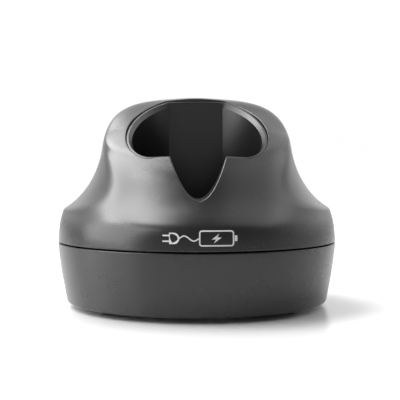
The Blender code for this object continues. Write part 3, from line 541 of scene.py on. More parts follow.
def turned_mesh(name, outline, around=64, place=(0, 0), axis="Z"):
    """A (radius, along) outline spun round an upright axis at place, or round a Y axis at (x, z)."""
    outline = np.array([(max(radius, TIP), along) for radius, along in outline])
    turns = np.linspace(0, math.tau, around, endpoint=False)
    u = outline[:, :1] * np.cos(turns) + place[0]
    v = outline[:, :1] * np.sin(turns) + place[1]
    w = np.repeat(outline[:, 1:], around, axis=1)
    order = (u, v, w) if axis == "Z" else (u, w, v)
    return grid_mesh(name, np.stack(order, -1))


def rounded(outline, radius, steps=4):
    """The outline with its inner corners rounded by short curves. A point's third value is its own radius."""
    soft = [Vector(outline[0][:2])]
    for before, corner, after in zip(outline, outline[1:], outline[2:]):
        here = Vector(corner[:2])
        back, ahead = Vector(before[:2]) - here, Vector(after[:2]) - here
        size = corner[2] if len(corner) > 2 else radius
        size = min(size, 0.45 * back.length, 0.45 * ahead.length)
        start, end = here + back.normalized() * size, here + ahead.normalized() * size
        for k in range(steps + 1):
            t = k / steps
            soft.append(start * (1 - t) ** 2 + here * 2 * t * (1 - t) + end * t**2)
    soft.append(Vector(outline[-1][:2]))
    return [tuple(point) for point in soft]


def box_mesh(name, low, high, edge=0.0, steps=3):
    """A box with rounded edges."""
    low, high = Vector(low), Vector(high)
    work = bmesh.new()
    stretch = Matrix.Diagonal((*(high - low), 1))
    bmesh.ops.create_cube(work, size=1, matrix=Matrix.Translation((low + high) / 2) @ stretch)
    if edge:
        bmesh.ops.bevel(work, geom=work.edges, offset=edge, segments=steps, profile=0.5, affect="EDGES")
    mesh = bpy.data.meshes.new(name)
    work.to_mesh(mesh)
    work.free()
    return mesh


def prism_mesh(name, outline, lift):
    """A flat outline of 3-D points swept along lift."""
    outline = np.array(outline, float)
    return grid_mesh(name, [outline, outline + np.array(lift)])


def together(name, meshes):
    """One mesh that holds several separate bodies."""
    work = bmesh.new()
    for mesh in meshes:
        work.from_mesh(mesh)
        bpy.data.meshes.remove(mesh)
    joined = bpy.data.meshes.new(name)
    work.to_mesh(joined)
    work.free()
    return joined


def combined(mesh, other, operation):
    """The solid that two meshes make together: UNION, DIFFERENCE or INTERSECT."""
    target = bpy.data.objects.new("boolean target", mesh)
    tool = bpy.data.objects.new("boolean tool", other)
    for thing in (target, tool):
        bpy.context.scene.collection.objects.link(thing)
    step = target.modifiers.new("boolean", "BOOLEAN")
    step.operation, step.object, step.solver = operation, tool, "EXACT"
    made = bpy.data.meshes.new_from_object(target.evaluated_get(bpy.context.evaluated_depsgraph_get()))
    bpy.data.objects.remove(target)
    bpy.data.objects.remove(tool)
    return made


# ================================================================ the tower's skin
# Each flank runs from the seam to the brow: (share of the way in, share of the way up).
FRONT_FLANK = (
    (0, 0), (0.018, 0.117), (0.057, 0.226), (0.143, 0.322), (0.279, 0.422),
    (0.418, 0.528), (0.557, 0.659), (0.70, 0.792), (0.85, 0.902), (1, 1),
)  # fmt: skip
SIDE_FLANK = (
    (0, 0), (0.014, 0.104), (0.052, 0.211), (0.108, 0.305), (0.179, 0.425),
    (0.345, 0.586), (0.56, 0.738), (0.762, 0.861), (0.899, 0.947), (1, 1),
)  # fmt: skip
BACK_FLANK = (
    (0, 0), (0.046, 0.083), (0.157, 0.175), (0.323, 0.274), (0.488, 0.385),
    (0.627, 0.516), (0.737, 0.651), (0.82, 0.786), (0.894, 0.913), (1, 1),
)  # fmt: skip
CROWN = (0.80, 0.60, 0.30, 0)  # shares of the brow's radius where the top's own points lie
CORNER_SWELL = (0, 0, 0.02, 0.06, 0.15, 0.3, 0.5, 0.7, 0.88, 1)  # along the rear corners' flank
BACK_BLEND = 0.5 * MM  # rounding where the mouth's sweep meets its straight back
NOTCH_BLEND = 0.9 * MM  # rounding where the notch runs into the mouth


def curve_through(points, shares):
    """Places on the natural cubic curve that passes through the points, evenly spaced in share."""
    points = np.array(points, float)
    last = len(points) - 1
    system = 4 * np.eye(last + 1) + np.eye(last + 1, k=1) + np.eye(last + 1, k=-1)
    system[0, 1] = system[last, last - 1] = 0
    turn = np.zeros(points.shape)
    turn[1:-1] = 6 * (points[:-2] - 2 * points[1:-1] + points[2:])
    bend = np.linalg.solve(system, turn)
    place = np.clip(shares, 0, 1) * last
    i = np.minimum(place.astype(int), last - 1)
    ahead = (place - i)[..., None]
    back = 1 - ahead
    straight = back * points[i] + ahead * points[i + 1]
    return straight + ((back**3 - back) * bend[i] + (ahead**3 - ahead) * bend[i + 1]) / 6


def soft_min(a, b, width):
    """The smaller of two lengths, blended where they differ by less than width."""
    mix = np.clip(0.5 + 0.5 * (b - a) / width, 0, 1)
    return b + (a - b) * mix - width * mix * (1 - mix)


class Skin:
    """The tower's outer surface, the same one that the housing's solid follows."""

    def __init__(self):
        self.size = settings().tower
        low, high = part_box("upper_shell")
        self.radius = (high[0] - low[0]) / 2
        self.foot = low[2]

    def top(self, x, y):
        return self.size.crown + self.size.slope * y - self.size.fall * x * x

    def profile(self, flank, across, along, drop):
        brow, height = math.hypot(across, along), self.top(across, along) - drop
        climb = [
            (self.radius + (brow - self.radius) * inwards, self.foot + (height - self.foot) * upwards)
            for inwards, upwards in flank
        ]
        return climb + [(brow * part, self.top(across * part, along * part)) for part in CROWN]

    def profiles(self):
        size = self.size
        return (
            self.profile(FRONT_FLANK, 0, -size.mouth_reach, 0),
            self.profile(SIDE_FLANK, size.mouth_half + size.side_band, 0, size.side_drop),
            self.profile(BACK_FLANK, 0, size.mouth_reach + size.back_band, size.back_drop),
        )

    def inset_profile(self, points, shares, inset):
        step = 1e-4
        here = curve_through(points, shares)
        if not inset:
            return here
        along = curve_through(points, np.minimum(shares + step, 1))
        along = along - curve_through(points, np.maximum(shares - step, 0))
        along /= np.linalg.norm(along, axis=-1, keepdims=True)
        moved = here + inset * np.stack([-along[..., 1], along[..., 0]], axis=-1)
        moved[..., 0] = np.maximum(moved[..., 0], 0)
        return moved

    def waist(self, height, inset):
        size = self.size
        flare = self.radius - size.waist + size.scoop_flare
        drop = np.clip((size.scoop_top - height) / size.scoop_height, 0, 0.9995)
        root = np.sqrt(1 - drop * drop)
        steepness = flare * drop / (size.scoop_height * root)
        radius = size.waist + flare * (1 - root) - inset * np.sqrt(1 + steepness**2)
        return np.where(height < size.scoop_top - size.scoop_height, 2 * self.radius, radius)

    def at(self, angles, shares, inset=0.0):
        """Points of the skin: angle 0 is +X and a quarter turn the back; share 0 is the seam, 1 the axis."""
        size = self.size
        angles, shares = np.broadcast_arrays(angles, shares)
        front, side, back = (self.inset_profile(p, shares, inset) for p in self.profiles())
        across, along = np.cos(angles), np.sin(angles)

        def blended(at_side, at_front, at_back):
            tilt, mean = (at_back - at_front) / 2, (at_back + at_front) / 2
            return at_side * across**2 + tilt * along + mean * along**2

        flank = [(size.corner_out * swell, size.corner_up * swell) for swell in CORNER_SWELL]
        swell = curve_through(flank + [(size.corner_out, 0)] * len(CROWN), shares)
        corner = np.where(along > 0, np.sin(2 * angles) ** 2, 0)
        grow = 1 + swell[..., 0] * corner
        x = side[..., 0] * across * grow
        y = blended(0, -front[..., 0], back[..., 0]) * grow
        z = blended(side[..., 1], front[..., 1], back[..., 1]) + swell[..., 1] * corner
        radius = np.hypot(x, y)
        pinched = soft_min(radius, self.waist(z, inset), size.crease)
        ratio = pinched / np.maximum(radius, 1e-9)
        return np.stack([x * ratio, y * ratio, z], axis=-1)

    def opening(self, points):
        """How far a point lies outside the mouth and the notch: negative inside either of them."""
        size = self.size
        x, y, z = np.abs(points[..., 0]), points[..., 1], points[..., 2]
        run = size.mouth_reach - size.mouth_widest
        sweep = run / math.sqrt(1 - (size.back_flat / size.mouth_half) ** 2)
        rear = ellipse_gap(x, y - size.mouth_widest, size.mouth_half, sweep)
        rear = -soft_min(-rear, size.mouth_reach - y, BACK_BLEND)
        front_run = size.mouth_reach + size.mouth_widest
        bulge = size.mouth_half - size.front_flat
        past = np.maximum(x - size.front_flat, 0)
        front = ellipse_gap(past, y - size.mouth_widest, bulge, front_run)
        mouth = np.where(y > size.mouth_widest, rear, front)
        tip = self.top(0, -size.mouth_reach) - size.notch_depth
        bow = tip + size.notch_depth * (x / size.notch_half) ** 2
        lean = 2 * size.notch_depth * x / size.notch_half**2
        notch = np.where(y < -size.mouth_reach / 2, (bow - z) / np.sqrt(1 + lean**2), self.radius)
        return soft_min(mouth, notch, NOTCH_BLEND)

    def edge(self, angles, grow=0.0, inset=0.0):
        """The share at which each column of the skin meets the openings, grown by grow."""
        near, far = np.zeros(len(angles)), np.full(len(angles), 0.92)
        for _ in range(36):
            half = (near + far) / 2
            outside = self.opening(self.at(angles, half, inset)) > grow
            near, far = np.where(outside, half, near), np.where(outside, far, half)
        return (near + far) / 2

    def above_seam(self, angles, rise):
        """The share at which each column is rise above the seam."""
        near, far = np.zeros(len(angles)), np.full(len(angles), 0.2)
        for _ in range(30):
            half = (near + far) / 2
            below = self.at(angles, half)[:, 2] < self.foot + rise
            near, far = np.where(below, half, near), np.where(below, far, half)
        return near


def ellipse_gap(x, y, a, b):
    """Nearly the distance from an ellipse with half axes a and b, negative inside it."""
    reach = np.sqrt((x / a) ** 2 + (y / b) ** 2)
    steepness = np.sqrt((x / a**2) ** 2 + (y / b**2) ** 2) / np.maximum(reach, 1e-9)
    return (reach - 1) / np.maximum(steepness, 1e-6)


def arc(start, corner, end, steps):
    """Points of a short curve from start to end that leaves towards corner."""
    return [start * (1 - t) ** 2 + corner * 2 * t * (1 - t) + end * t**2 for t in np.linspace(0, 1, steps)]


def mouth_ring(grow=0.0, steps=26, flats=14):
    """Plan of the mouth, grown by grow, as evenly matched points for every grow."""
    size = settings().tower
    half = size.mouth_half + grow
    front_run = size.mouth_widest + size.mouth_reach + grow
    bulge = size.mouth_half - size.front_flat + grow
    run = size.mouth_reach - size.mouth_widest
    sweep = run / math.sqrt(1 - (size.back_flat / size.mouth_half) ** 2) + grow
    last = math.asin((run + grow) / sweep)
    front = [
        (size.front_flat + bulge * math.cos(t), size.mouth_widest - front_run * math.sin(t))
        for t in np.linspace(math.pi / 2, 0, steps)
    ]
    rear = [
        (half * math.cos(t), size.mouth_widest + sweep * math.sin(t))
        for t in np.linspace(0, last, steps)[1:]
    ]
    right = front + rear
    inner = np.linspace(1, -1, flats)[1:-1]
    back = [(right[-1][0] * part, right[-1][1]) for part in inner]
    left = [(-x, y) for x, y in right[::-1]]
    closing = [(-right[0][0] * part, right[0][1]) for part in inner]
    return np.array(right + back + left + closing)


def notch_prism(name, grow, front, back, steps=24):
    """The notch swept along Y, grown by grow below and beside, and running up clear of the tower."""
    size = settings().tower
    rim = Skin().top(0, -size.mouth_reach)
    outline = []
    for part in np.linspace(-1, 1, 2 * steps + 1):
        x = size.notch_half * part
        lean = 2 * size.notch_depth * part / size.notch_half
        stretch = math.hypot(lean, 1)
        z = rim - size.notch_depth * (1 - part * part)
        outline.append((x + grow * lean / stretch, front, z - grow / stretch))
    above = rim + size.notch_depth
    outline = [(outline[0][0], front, above), *outline, (outline[-1][0], front, above)]
    return prism_mesh(name, outline, (0, back - front, 0))


# ================================================================ operators: the housings
class Maker:
    """What every operator here shares: it runs its make method and reports that it is done."""

    bl_options = {"REGISTER", "UNDO"}

    def execute(self, context):
        self.make()
        return {"FINISHED"}


class STAND_OT_tower(Maker, bpy.types.Operator):
    """Moulds the upper housing: flanks, side scoops, slanted top, mouth and notch"""

    bl_idname = "stand.tower"
    bl_label = "Tower housing"

    def make(self):
        skin, size = Skin(), settings().tower
        around, outside, inside = 432, 132, 42
        angles = np.linspace(0, math.tau, around, endpoint=False) - math.pi / 2
        wall, soft = size.wall, size.seam_round
        seam = skin.at(angles, 0.0)
        tucked = seam * np.array([1 - soft / skin.radius, 1 - soft / skin.radius, 1])
        start = skin.above_seam(angles, soft)
        rows = [skin.at(angles, 0.0, wall)]
        rows += arc(tucked, seam, skin.at(angles, start), 5)
        stop = skin.edge(angles, size.rim_round)
        rows += [skin.at(angles, start + (stop - start) * part) for part in np.linspace(0, 1, outside)[1:]]
        corner = skin.at(angles, skin.edge(angles))
        inner_stop = skin.edge(angles, 0.0, wall)
        under = skin.at(angles, inner_stop, wall)
        inwards = under - corner
        inwards /= np.linalg.norm(inwards, axis=1, keepdims=True)
        rows += arc(rows[-1], corner, corner + inwards * size.rim_round, 7)[1:]
        rows += [skin.at(angles, inner_stop * part, wall) for part in np.linspace(1, 0, inside)[:-1]]
        mesh = grid_mesh("tower_housing", rows, ring=True)
        new_piece(
            "tower_housing", mesh, housing_plastic(), stands_for=["upper_shell"]
        )


class STAND_OT_cup(Maker, bpy.types.Operator):
    """Moulds the cup that holds the handle, with its lead-in, flat back panel, trough and two ears"""

    bl_idname = "stand.cup"
    bl_label = "Handle cup"

    def make(self):
        skin, size, cup = Skin(), settings().tower, settings().cup
        floor = mount_place("handle_rest").z
        bottom = low_of("well_liner").z
        outer, land, inner = -cup.gap, -cup.gap - cup.land, -cup.gap - cup.wall

        def level(grow, height):
            plan = mouth_ring(grow)
            return np.column_stack([plan, np.full(len(plan), height)])

        def slanted(grow, depth):
            plan = mouth_ring(grow)
            return np.column_stack([plan, skin.top(plan[:, 0], plan[:, 1]) - cup.reveal - depth])

        soft, chamfer, under_notch = 0.12 * MM, 0.4 * MM, 15 * MM
        rows = [level(outer - chamfer, bottom), level(outer, bottom + chamfer)]
        rows += [slanted(outer, soft), slanted(outer - soft * 0.3, soft * 0.3), slanted(outer - soft, 0)]
        funnel = cup.wall - cup.land
        rows += [
            slanted(land - funnel * part, cup.lead_in * part)
            for part in (0, 0.08, 0.3, 0.55, 0.8, 0.92, 1.0)
        ]
        rows += [slanted(inner, cup.lead_in * part) for part in (1.12, 1.6)]
        rows += [level(inner, floor + cup.floor_round * part) for part in (4, 1)]
        rows += [
            level(inner - cup.floor_round * (1 - math.cos(t)), floor + cup.floor_round * (1 - math.sin(t)))
            for t in np.linspace(0, math.pi / 2, 7)[1:]
        ]
        rows.append(level(inner - cup.floor_round - chamfer, floor))
        mesh = grid_mesh("handle_cup", rows)

        back = size.mouth_reach + inner + cup.channel_depth
        low = (-cup.channel_half, 0, floor + cup.floor_round)
        channel = box_mesh("channel", low, (cup.channel_half, back, 2 * size.crown))
        ears, holes = self.ears_and_holes(bottom, floor)
        mesh = combined(mesh, together("ears", ears), "UNION")
        trough = notch_prism("trough", cup.trough_wall, -skin.radius, -size.mouth_reach * 0.9)
        angles = np.linspace(0, math.tau, 160, endpoint=False)
        limit = [skin.at(angles, part, size.wall + cup.gap) for part in np.linspace(0.05, 0.9, 60)]
        limit.insert(0, limit[0] - np.array([0, 0, under_notch]))
        trough = combined(trough, grid_mesh("limit", limit), "INTERSECT")
        mesh = combined(mesh, trough, "UNION")
        mesh = combined(mesh, notch_prism("notch", 0, -2 * skin.radius, -size.mouth_reach / 2), "DIFFERENCE")
        mesh = combined(mesh, channel, "DIFFERENCE")
        mesh = combined(mesh, together("holes", holes), "DIFFERENCE")
        new_piece(
            "handle_cup", mesh, cup_plastic(), stands_for=["well_liner"], sharp=24
        )

    def ears_and_holes(self, bottom, floor):
        """The two screw ears, and the holes for their screws and for the contacts."""
        thickness, half_width = 2.4 * MM, 3.6 * MM
        screw_hole, contact_hole, contact_rim = 1.35 * MM, 1.75 * MM, 2.15 * MM
        seat = low_of("liner_screw_left").z + LINER_SCREW_HEAD + GAP
        root, reach = settings().tower.mouth_half - 1.2 * MM, high_of("well_liner").x
        ears, holes = [], []
        for side, sign in SIDES.items():
            left, right = sorted((sign * root, sign * reach))
            low, high = (left, -half_width, seat), (right, half_width, seat + thickness)
            ears.append(box_mesh("ear", low, high, 0.3 * MM))
            above = seat + 4 * MM
            outline = [(0, seat - CLEAR), (screw_hole, seat - CLEAR), (screw_hole, above), (0, above)]
            holes.append(turned_mesh("ear hole", outline, 32, middle_of(f"liner_screw_{side}").xy))
            rim = [
                (0, bottom - CLEAR), (contact_hole, bottom - CLEAR), (contact_hole, floor - 0.35 * MM),
                (contact_rim, floor + 0.05 * MM), (contact_rim, floor + CLEAR), (0, floor + CLEAR),
            ]  # fmt: skip
            holes.append(turned_mesh("contact hole", rim, 40, middle_of(f"contact_pin_{side}").xy))
        return ears, holes


class STAND_OT_base(Maker, bpy.types.Operator):
    """Moulds the base housing: wall, seam lip, foot recesses, screw bosses, posts and the socket's window"""

    bl_idname = "stand.base"
    bl_label = "Base housing"

    def make(self):
        tower, base = settings().tower, settings().base
        low, high = low_of("base_shell"), high_of("base_shell")
        radius, bottom, lip_top = (high.x - low.x) / 2, low.z, high.z
        seam = lip_top - base.lip_height
        floor = bottom + tower.wall

        def wall_radius(height):
            drop = np.clip((seam - height) / (seam - bottom), 0, 1)
            return radius - base.lean * drop**base.lean_power

        edge = base.bottom_round
        start = bottom + edge
        outline = [
            (wall_radius(start) - edge * (1 - math.cos(t)), start - edge * math.sin(t))
            for t in np.linspace(math.pi / 2, 0, 8)
        ]
        top = seam - tower.seam_round
        outline += [(wall_radius(h), h) for h in np.linspace(start, top, 40)[1:]]
        outline += [
            (radius - tower.seam_round * (1 - math.cos(t)), top + tower.seam_round * math.sin(t))
            for t in np.linspace(0, math.pi / 2, 5)[1:]
        ]
        lip_outer = radius - tower.wall - base.lip_gap
        lip_inner = lip_outer - base.lip_wall
        root, meets_wall, low_wall = seam - 2.5 * MM, seam - 4.5 * MM, floor + 6 * MM
        corner, flat = 1.2 * MM, 20 * MM
        outline += rounded(
            [
                (lip_outer + CLEAR, seam), (lip_outer, seam), (lip_outer, lip_top), (lip_inner, lip_top),
                (lip_inner, root), (wall_radius(meets_wall) - tower.wall, meets_wall),
                (wall_radius(low_wall) - tower.wall, low_wall),
                (wall_radius(floor) - tower.wall, floor, corner), (flat, floor),
            ],
            0.3 * MM,
        )  # fmt: skip
        mesh = turned_mesh("base_housing", outline, 320)
        sunk = 0.5 * MM
        wall = [(wall_radius(h) - sunk, h) for h in np.linspace(floor, seam, 12)]
        limit = turned_mesh("pad limit", [(0, floor - CLEAR), *wall, (0, seam)], 120)
        mesh = combined(mesh, combined(self.pad(floor), limit, "INTERSECT"), "UNION")
        mesh = combined(mesh, together("bosses", self.bosses(bottom, floor)), "UNION")
        mesh = combined(mesh, together("recesses", self.recesses(bottom)), "DIFFERENCE")
        new_piece(
            "base_housing", mesh, housing_plastic("satin_base"), stands_for=["base_shell"],
        )  # fmt: skip

    def bosses(self, bottom, floor):
        """Screw bosses, board posts and the ballast's stakes."""
        sunk = (bottom + floor) / 2
        boss, boss_top, post, ballast_inner = 4.0 * MM, 21.0 * MM, 3.0 * MM, 24.5 * MM
        made = []
        for place in PLACES:
            outline = rounded([(0, sunk), (boss, sunk), (boss, boss_top), (0, boss_top)], 0.3 * MM)
            made.append(turned_mesh("boss", outline, 48, middle_of(f"foot_{place}").xy))
            top = low_of("circuit_board").z - GAP
            outline = [(0, sunk), (post, sunk), (post, top), (0, top)]
            made.append(turned_mesh("post", outline, 40, middle_of(f"board_screw_{place}").xy))
        plate = high_of("ballast_plate")
        stake, spread = 1.5 * MM, 2.6 * MM
        for sign in SIDES.values():
            x = sign * (plate.x + ballast_inner) / 2
            head = plate.z + GAP
            outline = [
                (0, sunk), (stake, sunk), (stake, head), (spread, head),
                (spread - 0.15 * MM, head + 0.55 * MM), (1.7 * MM, head + 1.0 * MM), (0, head + 1.0 * MM),
            ]  # fmt: skip
            made.append(turned_mesh("stake", rounded(outline, 0.15 * MM), 40, (x, 0)))
        return made

    def pad(self, floor):
        """Thicker wall behind the socket's recess."""
        face = mount_place("plug_face")
        half_width, half_depth, roof = 8.5 * MM, 3.0 * MM, 7.1 * MM
        low = (-half_width, face.y - half_depth, floor - CLEAR)
        return box_mesh("pad", low, (half_width, face.y + half_depth, face.z + roof))

    def recesses(self, bottom):
        """Stepped holes over the feet, blind holes in the posts, the socket's recess and the label's."""
        foot_hole, foot_lead, head_hole, shank_hole, top = 6.55 * MM, 0.2 * MM, 3.0 * MM, 1.75 * MM, 30 * MM
        post_hole, post_bottom, post_top = 1.35 * MM, 2.9 * MM, 9 * MM
        made = []
        for place in PLACES:
            seat = high_of(f"foot_{place}").z + GAP
            screw_seat = low_of(f"housing_screw_{place}").z + HOUSING_SCREW_HEAD + GAP
            outline = [
                (0, -CLEAR), (foot_hole + foot_lead, -CLEAR), (foot_hole + foot_lead, bottom),
                (foot_hole, bottom + 0.25 * MM), (foot_hole, seat), (head_hole, seat),
                (head_hole, screw_seat), (shank_hole, screw_seat), (shank_hole, top), (0, top),
            ]  # fmt: skip
            made.append(turned_mesh("foot recess", outline, 64, middle_of(f"foot_{place}").xy))
            outline = [(0, post_bottom), (post_hole, post_bottom), (post_hole, post_top), (0, post_top)]
            made.append(turned_mesh("post hole", outline, 32, middle_of(f"board_screw_{place}").xy))
        face = mount_place("plug_face")
        inner, outside = high_of("dc_jack_body").y - 6 * MM, face.y + 6 * MM
        nose_hole, plug_hole = SOCKET_NOSE + GAP, 6.5 * MM
        outline = rounded(
            [
                (0, inner), (nose_hole, inner), (nose_hole, face.y, 0.25 * MM), (plug_hole, face.y, 0.3 * MM),
                (plug_hole, face.y + 1.5 * MM, 0.05 * MM), (plug_hole + 2 * MM, outside), (0, outside),
            ],
            0.2 * MM,
        )  # fmt: skip
        made.append(turned_mesh("socket recess", outline, 72, (0, face.z), axis="Y"))
        low, high = low_of("rating_label"), high_of("rating_label")
        plan = round_plate(low, high, GAP, -CLEAR)
        made.append(prism_mesh("label recess", plan, (0, 0, CLEAR + high.z + GAP)))
        return made


def round_plate(low, high, grow, height, radius=1.6 * MM, steps=6):
    """Outline of a flat plate with round corners, at one height."""
    outline = []
    corners = ((1, 1, 0), (-1, 1, 1), (-1, -1, 2), (1, -1, 3))
    for right, rear, quarter in corners:
        x = (high.x if right > 0 else low.x) + right * (grow - radius)
        y = (high.y if rear > 0 else low.y) + rear * (grow - radius)
        for t in np.linspace(0, math.pi / 2, steps) + quarter * math.pi / 2:
            outline.append((x + radius * math.cos(t), y + radius * math.sin(t), height))
    return outline


# ================================================================ operators: feet, print and label
class STAND_OT_feet(Maker, bpy.types.Operator):
    """Presses the four rubber feet, each with a soft edge, a dimple and two tread rings"""

    bl_idname = "stand.feet"
    bl_label = "Rubber feet"

    def make(self):
        finish = rubber()
        for place in PLACES:
            node = f"foot_{place}"
            low, high = low_of(node), high_of(node)
            radius = (high.x - low.x) / 2
            dimple, groove, half = 0.3 * MM, 0.12 * MM, 0.2 * MM
            outline = [(0, dimple), (0.30 * radius, dimple), (0.38 * radius, 0)]
            for ring in (0.56 * radius, 0.74 * radius):
                outline += [(ring - half, 0), (ring, groove), (ring + half, 0)]
            outline += [(radius, 0, 0.6 * MM), (radius, high.z, 0.15 * MM), (0, high.z)]
            outline = rounded(outline, 0.12 * MM)
            mesh = turned_mesh(f"rubber_{node}", outline, 72, middle_of(node).xy)
            new_piece(f"rubber_{node}", mesh, finish, stands_for=[node])


def stroke(points, width, closed=False):
    """Left and right edges of a line with the given width, mitred at its corners."""
    points = np.array(points, float)
    ahead = np.roll(points, -1, 0) - points
    behind = points - np.roll(points, 1, 0)
    if not closed:
        ahead[-1], behind[0] = behind[-1], ahead[0]
    ahead /= np.linalg.norm(ahead, axis=1, keepdims=True)
    behind /= np.linalg.norm(behind, axis=1, keepdims=True)
    along = ahead + behind
    along /= np.linalg.norm(along, axis=1, keepdims=True)
    reach = width / 2 / np.maximum(np.einsum("ij,ij->i", along, ahead), 0.5)
    side = np.column_stack([-along[:, 1], along[:, 0]]) * reach[:, None]
    return points + side, points - side


def spaced(points, step, closed=False):
    """The same line with points no further than step apart."""
    ends = points[1:] + points[:1] if closed else points[1:]
    fine = []
    for a, b in zip(points, ends):
        count = max(1, math.ceil(math.dist(a, b) / step))
        fine += [(a[0] + (b[0] - a[0]) * k / count, a[1] + (b[1] - a[1]) * k / count) for k in range(count)]
    return fine if closed else fine + [points[-1]]


class STAND_OT_print(Maker, bpy.types.Operator):
    """Prints a plain charging pictogram on the front: a plug, its lead and a battery with a bolt"""

    bl_idname = "stand.print"
    bl_label = "Front pictogram"

    def make(self):
        self.surface = BVHTree.FromObject(
            bpy.data.objects["tower_housing"], bpy.context.evaluated_depsgraph_get()
        )
        self.middle = low_of("upper_shell").z + 4.1 * MM
        line = 0.42  # every number below is in millimetres, across and up from the middle
        bodies = [self.line([(-11.4, z), (-9.4, z)], line) for z in (0.85, -0.85)]
        nose = [(-7.9 + 1.6 * math.sin(t), 1.7 * math.cos(t)) for t in np.linspace(0, math.pi, 13)]
        bodies.append(self.patch([(-9.4, 1.7), *nose, (-9.4, -1.7)][::-1]))
        lead = [(-6.3 + 5.9 * t, 0.75 * math.sin(math.tau * t)) for t in np.linspace(0, 1, 33)]
        bodies.append(self.line(lead, line * 0.9))
        shell = []
        for x, z, quarter in ((9.5, 1.5, 0), (0.6, 1.5, 1), (0.6, -1.5, 2), (9.5, -1.5, 3)):
            turns = np.linspace(0, math.pi / 2, 5) + quarter * math.pi / 2
            shell += [(x + 0.7 * math.cos(t), z + 0.7 * math.sin(t)) for t in turns]
        bodies.append(self.line(shell, line, closed=True))
        bodies.append(self.patch([(10.55, -0.85), (11.4, -0.85), (11.4, 0.85), (10.55, 0.85)]))
        bolt = [(5.9, 1.45), (3.5, -0.3), (4.85, -0.3), (4.2, -1.45), (6.6, 0.3), (5.25, 0.3)]
        bodies.append(self.patch(bolt))
        mesh = together("front_pictogram", bodies)
        new_piece("front_pictogram", mesh, ink())

    def on_skin(self, points, rise):
        """Flat (x, up) points in millimetres, laid on the tower's front and lifted by rise."""
        laid, ahead = [], 0.1
        for x, up in points:
            start = Vector((x * MM, -ahead, self.middle + up * MM))
            hit, normal, _, _ = self.surface.ray_cast(start, Vector((0, 1, 0)))
            laid.append(hit + normal * rise)
        return np.array(laid)

    def solid(self, points):
        sunk, proud = 0.02 * MM, 0.035 * MM
        return [self.on_skin(points, -sunk), self.on_skin(points, proud)]

    def line(self, points, width, closed=False):
        points = spaced(points, 0.4, closed)
        left, right = stroke(points, width, closed)
        if not closed:
            return grid_mesh("line", self.solid([*left, *right[::-1]]))
        under_left, over_left = self.solid(left)
        under_right, over_right = self.solid(right)
        return grid_mesh("line", [under_left, over_left, over_right, under_right], ring=True)

    def patch(self, points):
        return grid_mesh("patch", self.solid(spaced(points, 0.4, closed=True)))


class STAND_OT_label(Maker, bpy.types.Operator):
    """Cuts the blank label under the base, with round corners"""

    bl_idname = "stand.label"
    bl_label = "Blank label"

    def make(self):
        low, high = low_of("rating_label"), high_of("rating_label")
        mesh = prism_mesh("blank_label", round_plate(low, high, 0, low.z), (0, 0, high.z - low.z))
        new_piece("blank_label", mesh, label_film(), stands_for=["rating_label"])


# ================================================================ operators: contacts, socket, screws
class STAND_OT_contacts(Maker, bpy.types.Operator):
    """Turns the two sprung contact pins and winds their springs"""

    bl_idname = "stand.contacts"
    bl_label = "Contacts and springs"

    def make(self):
        colours = settings().colours
        plated = metal("nickel_plate", colours.nickel, roughness=0.16, stains=0.15)
        drawn = metal("drawn_spring_wire", colours.steel, roughness=0.24, stretch=(1, 1, 1))
        for side in SIDES:
            node = f"contact_pin_{side}"
            low, high, at = low_of(node), high_of(node), middle_of(node)
            stem, shank, flange = 0.9 * MM, 1.5 * MM, high.x - at.x
            flange_top = low.z + 3.1 * MM
            flange_bottom = flange_top - 1.1 * MM
            ring = high.z - 1.5 * MM
            dome = [
                (shank * math.cos(t), high.z - 0.7 * shank * (1 - math.sin(t)))
                for t in np.linspace(0.08, math.pi / 2, 10)
            ]
            outline = rounded(
                [
                    (0, low.z), (stem, low.z), (stem, flange_bottom), (flange, flange_bottom),
                    (flange, flange_top), (shank, flange_top), (shank, ring - 0.1 * MM),
                    (shank - 0.08 * MM, ring), (shank, ring + 0.1 * MM), *dome,
                ],
                0.12 * MM,
                3,
            )  # fmt: skip
            mesh = turned_mesh(f"turned_{node}", outline, 56, at.xy)
            new_piece(f"turned_{node}", mesh, plated, f"{side}_contact", [node])
            self.spring(side, drawn)

    def spring(self, side, finish):
        """A coil with closed end turns."""
        node = f"contact_spring_{side}"
        low, high, at = low_of(node), high_of(node), middle_of(f"contact_pin_{side}")
        wire = 0.22 * MM
        coil = (high.x - low.x) / 2 - wire
        turns, steps = 5.5, 40
        along = np.linspace(0, 1, int(turns * steps) + 1)
        climb = along - 0.14 * np.sin(math.tau * along)
        spin = math.tau * turns * along
        z = low.z + wire + (high.z - low.z - 2 * wire) * climb
        path = np.column_stack([at.x + coil * np.cos(spin), at.y + coil * np.sin(spin), z])
        forward = np.gradient(path, axis=0)
        forward /= np.linalg.norm(forward, axis=1, keepdims=True)
        outward = np.column_stack([np.cos(spin), np.sin(spin), np.zeros(len(spin))])
        upward = np.cross(forward, outward)
        rows = []
        for t in range(len(path)):
            ring = [
                path[t] + wire * (math.cos(a) * outward[t] + math.sin(a) * upward[t])
                for a in np.linspace(0, math.tau, 14, endpoint=False)
            ]
            rows.append(ring)
        mesh = grid_mesh(f"coiled_{node}", rows)
        piece = new_piece(f"coiled_{node}", mesh, finish, stands_for=[node])
        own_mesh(piece)


